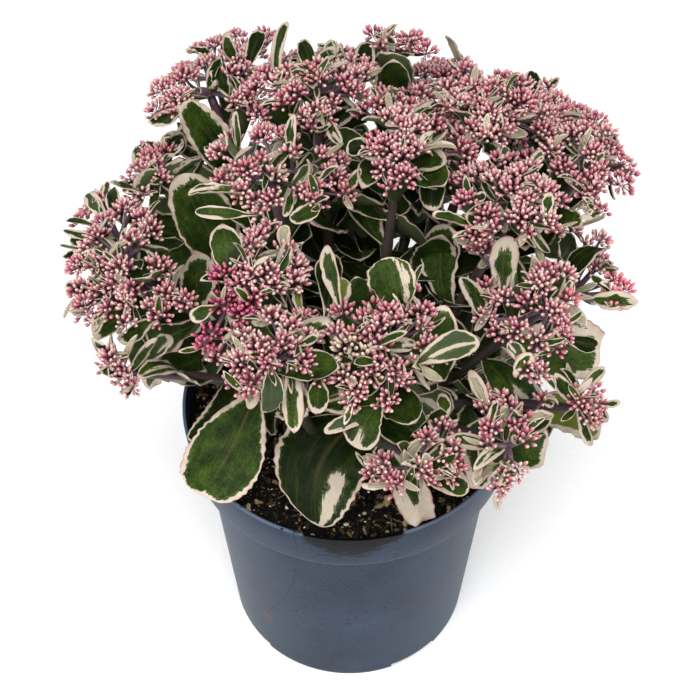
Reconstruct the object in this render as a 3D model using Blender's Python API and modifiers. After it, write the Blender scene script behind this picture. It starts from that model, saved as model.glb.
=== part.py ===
"""Variegated stonecrop of the Autumn Joy kind, in bud, in a round nursery pot.

Metres, +Z up. The origin is the middle of the pot's base, on the surface it stands on, and -Y is
the side that is seen from the front. The plant is a clump of thick stems that rise from the
compost, lean outwards and each carry one domed head of buds, with fleshy leaves along them.
Every piece is one closed solid, and neighbours keep a seat gap instead of touching.
"""

import math

import bmesh
import bpy
from mathutils import Matrix, Vector

MM = 0.001
SEAT_GAP = 0.3 * MM

# The pot: a thin tapered shell with a deep collar under its lip.
RIM_RADIUS = 95.0 * MM
POT_HEIGHT = 188.0 * MM
COLLAR_HEIGHT = 27.8 * MM
COLLAR_FOOT_RADIUS = 92.8 * MM
BODY_TOP_RADIUS = 84.8 * MM
BODY_FOOT_RADIUS = 72.2 * MM
WALL = 1.8 * MM
BASE_CORNER = 3.0 * MM
FOOT_RING_WIDTH = 10.0 * MM
CENTRE_FOOT_RADIUS = 19.0 * MM
BASE_RECESS = 2.2 * MM
COLLAR_FILLET = 1.2 * MM
EDGE_ROUND = 0.6 * MM
CUTTER_LENGTH = 20.0 * MM
DRAIN_NOTCHES = 4
DRAIN_NOTCH_ANGLE = math.radians(-56.0)
DRAIN_NOTCH_WIDTH = 32.0 * MM
DRAIN_NOTCH_HEIGHT = 5.0 * MM
DRAIN_HOLES = 6
DRAIN_HOLE_RADIUS = 4.5 * MM
DRAIN_HOLE_CIRCLE = 40.0 * MM
DRAIN_HOLE_SIDES = 16
POT_STEPS = 48

# The compost fills the pot to a little below the lip, slightly mounded.
COMPOST_DEPTH = 14.0 * MM
COMPOST_MOUND = 2.0 * MM

# The stems: each foot stands at STEM_FOOT_SHARE of its head's distance from the middle.
STEM_FOOT_SHARE = 0.30
STEM_FOOT_RADIUS = 3.6 * MM
STEM_TOP_RADIUS = 2.4 * MM
UPRIGHT_SHARE = 0.03
STEM_POINTS = 9

# The flower heads: a shallow cone under a dome, turned, then stretched across the stem.
HEAD_HEIGHT = 27.0 * MM
HEAD_STEPS = 12
HEAD_PROFILE = ((0.0, 1.0), (0.50, 0.95), (0.86, 0.76), (1.0, 0.50), (0.80, 0.26), (0.0, 0.0))

LEAF_THICKNESS = 1.7 * MM
LEAF_SEGMENTS = (4, 7)
LEAF_CUPPING = 0.16
LEAF_START = 0.015
LEAF_END = 0.985
LEAF_WIDEST = 0.62

# Each stem and its head: azimuth in degrees from +X, reach and height of the head's middle in mm,
# half width of the head across and along the reach in mm, and how late the stem leans outwards
# (under 1 it leans at once and then rises, over 1 it rises and then leans).
STEMS = {
    "back_left": (126, 133, 338, 34, 25, 1.2),
    "back": (102, 86, 358, 29, 26, 0.9),
    "far_back": (77, 130, 350, 29, 19, 1.1),
    "crown": (58, 51, 360, 29, 25, 0.8),
    "right_back": (42, 100, 360, 27, 26, 1.0),
    "far_right": (20, 140, 345, 29, 27, 1.2),
    "right": (7, 87, 348, 27, 27, 0.9),
    "right_front": (-20, 107, 322, 25, 23, 1.1),
    "left_back": (147, 129, 310, 19, 17, 1.3),
    "left": (175, 121, 308, 34, 30, 1.2),
    "left_front": (204, 130, 288, 19, 17, 2.2),
    "mid_left": (146, 50, 352, 31, 27, 0.8),
    "front_left_inner": (212, 61, 342, 25, 23, 0.7),
    "front_left": (245, 89, 333, 27, 23, 0.8),
    "front_right": (282, 79, 336, 27, 23, 1.1),
    "low_front": (288, 120, 290, 20, 17, 1.5),
    "low_right": (307, 134, 295, 21, 17, 2.0),
    "right_spur": (327, 143, 290, 19, 17, 2.0),
    "rear_right": (40, 150, 305, 23, 19, 1.3),
    "rear": (68, 150, 305, 23, 19, 1.3),
    "rear_left": (99, 150, 305, 23, 19, 1.3),
}

# The largest leaves: the stem each grows from, how far up it (0 to 1), its tip in mm, its width
# in mm, its arch as a share of its length (positive bends the tip away from the face) and the
# direction its upper face turns to.
LEAVES = {
    "front_left": ("left_front", 0.51, (-80, -68, 192), 43, 0.10, (0, -1, 2)),
    "front_centre": ("front_right", 0.28, (-17, -84, 186), 44, 0.10, (0, -1, 2)),
    "front_right": ("low_front", 0.45, (39, -82, 188), 26, 0.12, (0, -1, 2)),
    "low_left": ("left", 0.62, (-115, -8, 218), 38, 0.08, (-1, -2, 2)),
    "low_left_under": ("left", 0.40, (-86, -44, 208), 34, 0.08, (0, -1, 2)),
    "left_tall": ("left_back", 0.58, (-92, 50, 318), 36, 0.06, (2, -3, 1)),
    "left_round": ("left", 0.66, (-80, 14, 298), 22, -0.05, (1, -3, 2)),
    "top_left": ("back_left", 0.72, (-88, 76, 347), 24, 0.06, (1, -3, 2)),
    "top_centre": ("far_back", 0.72, (23, 88, 366), 24, -0.05, (0, -3, 1)),
    "middle_spear": ("back", 0.23, (-12, 36, 277), 14, -0.04, (0, -3, 1)),
    "middle_tall": ("right_back", 0.34, (49, 24, 300), 26, -0.08, (0, -3, 1)),
    "middle_dark": ("back", 0.56, (-20, 22, 312), 30, 0.06, (0, -2, 3)),
    "middle_right": ("right_front", 0.32, (73, 4, 237), 24, 0.05, (-1, -3, 2)),
    "far_right": ("right_front", 0.74, (133, -18, 256), 36, 0.10, (1, -2, 2)),
    "low_right": ("low_right", 0.80, (101, -78, 246), 30, 0.10, (1, -1, 2)),
    "spur": ("right_spur", 0.84, (131, -62, 246), 26, 0.10, (1, -1, 2)),
}

MATERIALS = {
    "pot_plastic": ("#4c5662", 0.45),
    "compost": ("#1b1612", 0.95),
    "stem_skin": ("#7b5560", 0.60),
    "buds": ("#c98a92", 0.60),
    "leaf": ("#3f5a33", 0.50),
}


def clear_scene():
    """Remove every object that the file opened with."""
    for item in list(bpy.data.objects):
        bpy.data.objects.remove(item, do_unlink=True)


def new_collection(name):
    """Return a new collection under the scene's own."""
    collection = bpy.data.collections.new(name)
    bpy.context.scene.collection.children.link(collection)
    return collection


def srgb_to_linear(text):
    """Return the linear colour of an sRGB hex value."""
    channels = [int(text[i : i + 2], 16) / 255.0 for i in (1, 3, 5)]
    linear = [c / 12.92 if c <= 0.04045 else ((c + 0.055) / 1.055) ** 2.4 for c in channels]
    return (*linear, 1.0)


def make_materials():
    """Return one plain material for each kind of surface."""
    made = {}
    for name, (colour, roughness) in MATERIALS.items():
        material = bpy.data.materials.new(name)
        material.use_nodes = True
        shader = material.node_tree.nodes["Principled BSDF"]
        shader.inputs["Base Color"].default_value = srgb_to_linear(colour)
        shader.inputs["Roughness"].default_value = roughness
        made[name] = material
    return made


def add_object(name, data, collection, material=None):
    """Link a new object for a mesh or a curve, with its material."""
    item = bpy.data.objects.new(name, data)
    collection.objects.link(item)
    if material:
        data.materials.append(material)
    return item


def turned(name, profile, steps, collection, material):
    """Turn a profile of (radius, height) points, outer side downwards, into a closed solid."""
    mesh = bpy.data.meshes.new(name)
    points = [(radius, 0.0, height) for radius, height in profile]
    edges = [(i, i + 1) for i in range(len(points) - 1)]
    mesh.from_pydata(points, edges, [])
    item = add_object(name, mesh, collection, material)
    screw = item.modifiers.new("Turn", "SCREW")
    screw.steps = steps
    screw.render_steps = steps
    screw.use_merge_vertices = True
    screw.merge_threshold = 0.01 * MM
    screw.use_smooth_shade = True
    return item


def inner_body_radius(height):
    """Radius of the pot's inner wall at a height, below the collar."""
    share = height / (POT_HEIGHT - COLLAR_HEIGHT)
    return BODY_FOOT_RADIUS + (BODY_TOP_RADIUS - BODY_FOOT_RADIUS) * share - WALL


def make_pot(collection, cutters, material):
    """The nursery pot: base with a foot ring, drainage holes and notches, body, collar and lip."""
    collar_foot = POT_HEIGHT - COLLAR_HEIGHT
    ring_outer = BODY_FOOT_RADIUS - BASE_CORNER
    ring_inner = ring_outer - FOOT_RING_WIDTH
    profile = (
        (0.0, WALL),
        (CENTRE_FOOT_RADIUS - WALL, WALL),
        (CENTRE_FOOT_RADIUS + WALL, WALL + BASE_RECESS),
        (ring_inner - 2.0 * WALL, WALL + BASE_RECESS),
        (ring_inner, WALL),
        (ring_outer - 0.4 * WALL, WALL),
        (inner_body_radius(BASE_CORNER), BASE_CORNER + 0.6 * WALL),
        (BODY_TOP_RADIUS - WALL, collar_foot + 0.5 * WALL),
        (COLLAR_FOOT_RADIUS - WALL - COLLAR_FILLET, collar_foot + WALL),
        (COLLAR_FOOT_RADIUS - WALL, collar_foot + WALL + COLLAR_FILLET),
        (RIM_RADIUS - WALL, POT_HEIGHT - EDGE_ROUND),
        (RIM_RADIUS - WALL + EDGE_ROUND, POT_HEIGHT),
        (RIM_RADIUS - EDGE_ROUND, POT_HEIGHT),
        (RIM_RADIUS, POT_HEIGHT - EDGE_ROUND),
        (COLLAR_FOOT_RADIUS, collar_foot + EDGE_ROUND),
        (COLLAR_FOOT_RADIUS - EDGE_ROUND, collar_foot),
        (BODY_TOP_RADIUS, collar_foot - EDGE_ROUND),
        (BODY_FOOT_RADIUS + 0.3 * MM, 1.3 * BASE_CORNER),
        (BODY_FOOT_RADIUS - 0.3 * BASE_CORNER, 0.3 * BASE_CORNER),
        (ring_outer, 0.0),
        (ring_inner, 0.0),
        (ring_inner - BASE_RECESS, BASE_RECESS),
        (CENTRE_FOOT_RADIUS + BASE_RECESS, BASE_RECESS),
        (CENTRE_FOOT_RADIUS, 0.0),
        (0.0, 0.0),
    )
    pot = turned("pot", profile, POT_STEPS, collection, material)
    for index in range(DRAIN_NOTCHES):
        angle = DRAIN_NOTCH_ANGLE + math.radians(-90.0) + index * math.tau / DRAIN_NOTCHES
        outward = Vector((math.cos(angle), math.sin(angle), 0.0))
        bpy.ops.mesh.primitive_cube_add(size=1.0, location=outward * BODY_FOOT_RADIUS)
        cutter = bpy.context.object
        cutter.rotation_euler.z = angle
        cutter.scale = (CUTTER_LENGTH, DRAIN_NOTCH_WIDTH, 2.0 * DRAIN_NOTCH_HEIGHT)
        cut(pot, cutter, f"notch_cutter_{index + 1}", cutters)
    for index in range(DRAIN_HOLES):
        angle = (index + 0.5) * math.tau / DRAIN_HOLES
        place = Vector((math.cos(angle), math.sin(angle), 0.0)) * DRAIN_HOLE_CIRCLE
        bpy.ops.mesh.primitive_cylinder_add(
            vertices=DRAIN_HOLE_SIDES, radius=DRAIN_HOLE_RADIUS, depth=CUTTER_LENGTH, location=place
        )
        cut(pot, bpy.context.object, f"drain_cutter_{index + 1}", cutters)
    return pot


def cut(target, cutter, name, cutters):
    """Take a cutter's shape out of the target, and hide the cutter."""
    cutter.name = name
    for collection in list(cutter.users_collection):
        collection.objects.unlink(cutter)
    cutters.objects.link(cutter)
    cutter.hide_render = True
    cutter.display_type = "WIRE"
    boolean = target.modifiers.new(name, "BOOLEAN")
    boolean.operation = "DIFFERENCE"
    boolean.object = cutter


def compost_surface(radius):
    """Height of the compost's surface at a distance from the middle: a very flat mound."""
    share = min(radius / RIM_RADIUS, 1.0)
    return POT_HEIGHT - COMPOST_DEPTH + COMPOST_MOUND * (1.0 - share * share)


def make_compost(collection, material):
    """The compost: it stands on the pot's floor and stays a seat gap off its walls."""
    collar_foot = POT_HEIGHT - COLLAR_HEIGHT
    floor = WALL + BASE_RECESS + SEAT_GAP
    edge = RIM_RADIUS - WALL - SEAT_GAP - 1.0 * MM
    profile = (
        (0.0, compost_surface(0.0)),
        (0.35 * edge, compost_surface(0.35 * edge)),
        (0.70 * edge, compost_surface(0.70 * edge)),
        (edge, compost_surface(edge)),
        (COLLAR_FOOT_RADIUS - WALL - 2.0 * SEAT_GAP, collar_foot + WALL + 2.0 * MM),
        (COLLAR_FOOT_RADIUS - WALL - 2.0 * MM, collar_foot + WALL + 2.0 * SEAT_GAP),
        (BODY_TOP_RADIUS - WALL - 2.0 * SEAT_GAP, collar_foot + WALL),
        (inner_body_radius(floor) - 2.0 * SEAT_GAP, floor + 2.0 * MM),
        (inner_body_radius(floor) - 2.0 * MM, floor),
        (0.0, floor),
    )
    return turned("compost", profile, POT_STEPS, collection, material)


def head_middle(name):
    """Middle of a stem's flower head."""
    azimuth, reach, height = STEMS[name][:3]
    angle = math.radians(azimuth)
    return Vector((reach * math.cos(angle), reach * math.sin(angle), height)) * MM


def head_axis(name):
    """Direction a flower head faces: half way between its stem's lean and straight up."""
    middle = head_middle(name)
    lean = STEMS[name][5]
    rise = middle.z - POT_HEIGHT + COMPOST_DEPTH
    outward = Vector((middle.x, middle.y, 0.0)) * (1.0 - STEM_FOOT_SHARE) * lean
    tangent = (outward + Vector((0.0, 0.0, rise))).normalized()
    return (tangent + Vector((0.0, 0.0, 1.0))).normalized()


def stem_point(name, share):
    """A point of a stem's centre line: above a short upright foot it rises evenly while its
    distance from the middle grows from the foot's share to the whole of its top's, as a power
    of the height."""
    lean = STEMS[name][5]
    top = head_middle(name) - head_axis(name) * (0.5 * HEAD_HEIGHT + 3.0 * SEAT_GAP)
    leaning = max(0.0, share - UPRIGHT_SHARE) / (1.0 - UPRIGHT_SHARE)
    out = STEM_FOOT_SHARE + (1.0 - STEM_FOOT_SHARE) * leaning**lean
    foot_distance = STEM_FOOT_SHARE * math.hypot(top.x, top.y)
    foot_height = compost_surface(foot_distance - STEM_FOOT_RADIUS) + SEAT_GAP
    return Vector((top.x * out, top.y * out, foot_height + (top.z - foot_height) * share))


def stem_radius(share):
    """Radius of a stem along its length: it thins evenly."""
    return STEM_FOOT_RADIUS + (STEM_TOP_RADIUS - STEM_FOOT_RADIUS) * share


def make_stem(name, collection, material):
    """A stem: a tapered tube from the compost to the underside of its flower head."""
    curve = bpy.data.curves.new(f"stem_{name}", "CURVE")
    curve.dimensions = "3D"
    curve.bevel_depth = 1.0
    curve.bevel_resolution = 2
    curve.use_fill_caps = True
    spline = curve.splines.new("POLY")
    spline.points.add(STEM_POINTS - 1)
    for index, point in enumerate(spline.points):
        above_foot = (index - 1) / (STEM_POINTS - 2)
        share = UPRIGHT_SHARE + (1.0 - UPRIGHT_SHARE) * above_foot if index else 0.0
        point.co = (*stem_point(name, share), 1.0)
        point.radius = stem_radius(share)
    return add_object(f"stem_{name}", curve, collection, material)


def make_head(name, collection, material):
    """A flower head's outer shape: a turned dome that faces along its own axis."""
    across, along = (value * MM for value in STEMS[name][3:5])
    profile = [(radius, height * HEAD_HEIGHT) for radius, height in HEAD_PROFILE]
    head = turned(f"flower_head_{name}", profile, HEAD_STEPS, collection, material)
    axis = head_axis(name)
    middle = head_middle(name)
    sideways = Vector((-middle.y, middle.x, 0.0)).normalized()
    outward = sideways.cross(axis)
    turn = Matrix((sideways, -outward, axis)).transposed().to_4x4()
    head.matrix_world = (
        Matrix.Translation(middle - axis * 0.5 * HEAD_HEIGHT)
        @ turn
        @ Matrix.Diagonal((across, along, 1.0, 1.0))
    )
    return head


def leaf_half_width(share):
    """Half width of a leaf of unit width along its length, from 0 at the stem to 1 at the tip:
    a power of the distance from the stem times the square root of the distance from the tip,
    with the power that puts the widest place at LEAF_WIDEST."""
    power = 0.5 * LEAF_WIDEST / (1.0 - LEAF_WIDEST)
    peak = LEAF_WIDEST**power * (1.0 - LEAF_WIDEST) ** 0.5
    return 0.5 * share**power * (1.0 - share) ** 0.5 / peak


def make_leaf(name, collection, material):
    """A fleshy leaf: a sheet with its outline, arch and cupped sides from formulas, thickened.

    It starts a seat gap off its stem, on the side its tip is on."""
    stem, share, tip, width, arch, face = LEAVES[name]
    root = stem_point(stem, share)
    along_stem = (stem_point(stem, share + 0.01) - stem_point(stem, share - 0.01)).normalized()
    tip = Vector(tip) * MM
    reach = tip - root
    side = (reach - along_stem * reach.dot(along_stem)).normalized()
    forward = reach.normalized()
    normal = Vector(face)
    normal = (normal - forward * normal.dot(forward)).normalized()
    across = forward.cross(normal)
    base_half = leaf_half_width(LEAF_START) * width * MM
    base_reach = 0.5 * LEAF_THICKNESS * abs(normal.dot(side)) + base_half * abs(across.dot(side))
    root = root + side * (stem_radius(share) + 1.5 * SEAT_GAP + base_reach)
    length = (tip - root).length
    mesh = bpy.data.meshes.new(f"leaf_{name}")
    sheet = bmesh.new()
    bmesh.ops.create_grid(sheet, x_segments=LEAF_SEGMENTS[0], y_segments=LEAF_SEGMENTS[1], size=1.0)
    for vertex in sheet.verts:
        q = vertex.co.x
        s = LEAF_START + (LEAF_END - LEAF_START) * (0.5 + 0.5 * vertex.co.y)
        half = leaf_half_width(s) * width * MM
        lift = arch * length * 4.0 * s * (1.0 - s) + LEAF_CUPPING * half * q * q
        vertex.co = (q * half, (s - LEAF_START) * length, lift)
    bmesh.ops.recalc_face_normals(sheet, faces=sheet.faces)
    sheet.to_mesh(mesh)
    sheet.free()
    leaf = add_object(f"leaf_{name}", mesh, collection, material)
    thick = leaf.modifiers.new("Thickness", "SOLIDIFY")
    thick.thickness = LEAF_THICKNESS
    thick.offset = 0.0
    turn = Matrix((across, forward, normal)).transposed().to_4x4()
    leaf.matrix_world = Matrix.Translation(root) @ turn
    return leaf


def main():
    clear_scene()
    plant = new_collection("stonecrop in a pot")
    cutters = new_collection("cutters")
    materials = make_materials()
    make_pot(plant, cutters, materials["pot_plastic"])
    make_compost(plant, materials["compost"])
    for name in STEMS:
        make_stem(name, plant, materials["stem_skin"])
        make_head(name, plant, materials["buds"])
    for name in LEAVES:
        make_leaf(name, plant, materials["leaf"])


main()
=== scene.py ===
"""Variegated stonecrop in bud in a nursery pot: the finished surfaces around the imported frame.

Metres, +Z up, the pot's axis on the origin and -Y the front. Every piece is made of closed ring
solids: rings of vertices carried along a path, each kind by its own formula, and closed at both
ends.
"""

import copy
import functools
import math

import bpy
import numpy as np
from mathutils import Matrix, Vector


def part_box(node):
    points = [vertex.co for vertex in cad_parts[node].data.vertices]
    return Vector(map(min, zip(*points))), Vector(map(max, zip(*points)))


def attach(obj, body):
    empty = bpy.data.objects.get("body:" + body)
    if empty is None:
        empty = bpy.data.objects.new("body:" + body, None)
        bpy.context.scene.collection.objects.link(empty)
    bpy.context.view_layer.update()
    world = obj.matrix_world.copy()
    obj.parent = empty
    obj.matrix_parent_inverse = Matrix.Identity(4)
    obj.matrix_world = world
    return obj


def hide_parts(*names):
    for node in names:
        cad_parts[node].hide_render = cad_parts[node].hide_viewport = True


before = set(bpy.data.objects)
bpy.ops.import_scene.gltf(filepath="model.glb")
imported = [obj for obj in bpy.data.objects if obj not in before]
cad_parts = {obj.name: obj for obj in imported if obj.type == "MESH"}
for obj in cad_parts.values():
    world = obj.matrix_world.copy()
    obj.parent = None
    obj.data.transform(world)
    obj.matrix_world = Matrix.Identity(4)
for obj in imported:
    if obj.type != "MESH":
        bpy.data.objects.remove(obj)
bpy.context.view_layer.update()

bl_info = {
    "name": "Potted Stonecrop",
    "version": (1, 0, 0),
    "blender": (4, 5, 0),
    "location": "View3D > Sidebar > Stonecrop",
    "description": "Makes a variegated stonecrop in bud in its nursery pot",
    "category": "Add Mesh",
}

MM = 0.001
GOLDEN_TURN = math.pi * (3.0 - math.sqrt(5.0))
BODY = "root"
RIGHT, BACK, UP = np.eye(3)

# The front view: a long lens that looks down at the plant. Pixels are those of a frame
# FRAME_PIXELS wide and high, counted from its top left corner.
VIEW_ELEVATION = math.radians(51.05)
VIEW_DISTANCE = 1.0
VIEW_TARGET = np.array((0.0, 0.0, 0.235))
VIEW_FOCAL_PIXELS = 1822.0
VIEW_MIDDLE = np.array((349.5, 348.0))
FRAME_PIXELS = 696
SENSOR_MM = 36.0
FLOOR_SIZE = 6.0
LIGHT_TARGET = (0.0, 0.0, 0.22)

POT_LOW, POT_HIGH = (np.array(corner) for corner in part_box("pot"))
RIM_RADIUS = float(POT_HIGH[0])
POT_HEIGHT = float(POT_HIGH[2])
COLLAR_HEIGHT = 27.8 * MM
COLLAR_FOOT_RADIUS = 92.8 * MM
BODY_TOP_RADIUS = 84.8 * MM
BODY_FOOT_RADIUS = 72.2 * MM
WALL = 1.8 * MM
BASE_CORNER = 3.0 * MM
FOOT_RING_WIDTH = 10.0 * MM
CENTRE_FOOT_RADIUS = 19.0 * MM
BASE_RECESS = 2.2 * MM
EDGE_ROUND = 0.6 * MM
COLLAR_FILLET = 1.2 * MM
DRAIN_NOTCHES = 4
DRAIN_NOTCH_ANGLE = math.radians(-56.0 - 90.0)
DRAIN_NOTCH_WIDTH = 32.0 * MM
DRAIN_NOTCH_HEIGHT = 5.0 * MM
DRAIN_HOLES = 6
DRAIN_HOLE_RADIUS = 4.5 * MM
DRAIN_HOLE_CIRCLE = 40.0 * MM
DRAIN_CUT_DEPTH = 20.0 * MM
POT_SIDES = 192

COMPOST_DEPTH = 14.0 * MM
COMPOST_MOUND = 2.0 * MM
COMPOST_SIDES = 160
COMPOST_RINGS = 34
SEAT_GAP = 0.3 * MM

STEM_FOOT_SHARE = 0.30
STEM_FOOT_RADIUS = 3.6 * MM
STEM_TOP_RADIUS = 2.4 * MM
STEM_ROWS, STEM_SIDES = 49, 10
UPRIGHT_SHARE = 0.03
HEAD_HEIGHT = 27.0 * MM

# Each stem and its head: azimuth in degrees from +X, reach and height of the head's middle in mm,
# half width of the head across and along the reach in mm, and how late the stem leans outwards.
STEMS = {
    "back_left": (126, 133, 338, 34, 25, 1.2),
    "back": (102, 86, 358, 29, 26, 0.9),
    "far_back": (77, 130, 350, 29, 19, 1.1),
    "crown": (58, 51, 360, 29, 25, 0.8),
    "right_back": (42, 100, 360, 27, 26, 1.0),
    "far_right": (20, 140, 345, 29, 27, 1.2),
    "right": (7, 87, 348, 27, 27, 0.9),
    "right_front": (-20, 107, 322, 25, 23, 1.1),
    "left_back": (147, 129, 310, 19, 17, 1.3),
    "left": (175, 121, 308, 34, 30, 1.2),
    "left_front": (204, 130, 288, 19, 17, 2.2),
    "mid_left": (146, 50, 352, 31, 27, 0.8),
    "front_left_inner": (212, 61, 342, 25, 23, 0.7),
    "front_left": (245, 89, 333, 27, 23, 0.8),
    "front_right": (282, 79, 336, 27, 23, 1.1),
    "low_front": (288, 120, 290, 20, 17, 1.5),
    "low_right": (307, 134, 295, 21, 17, 2.0),
    "right_spur": (327, 143, 290, 19, 17, 2.0),
    "rear_right": (40, 150, 305, 23, 19, 1.3),
    "rear": (68, 150, 305, 23, 19, 1.3),
    "rear_left": (99, 150, 305, 23, 19, 1.3),
}

# The kinds of bud cluster and of leaf by their colour, and the kinds of stalk.
PINK, MAGENTA, CORAL, CREAM = 0, 1, 2, 3
# A DARK_AND_SHADED leaf is painted nearly black: partly a deep green leaf, partly painted shade for leaves
# that lie deep in the clump and under the heads.
GREEN, WIDE_MARGIN, YELLOWING, PALE, DARK_AND_SHADED, SAGE = 0, 1, 2, 3, 4, 5
STEM, BRANCH, PEDICEL = 0, 1, 2

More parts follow.
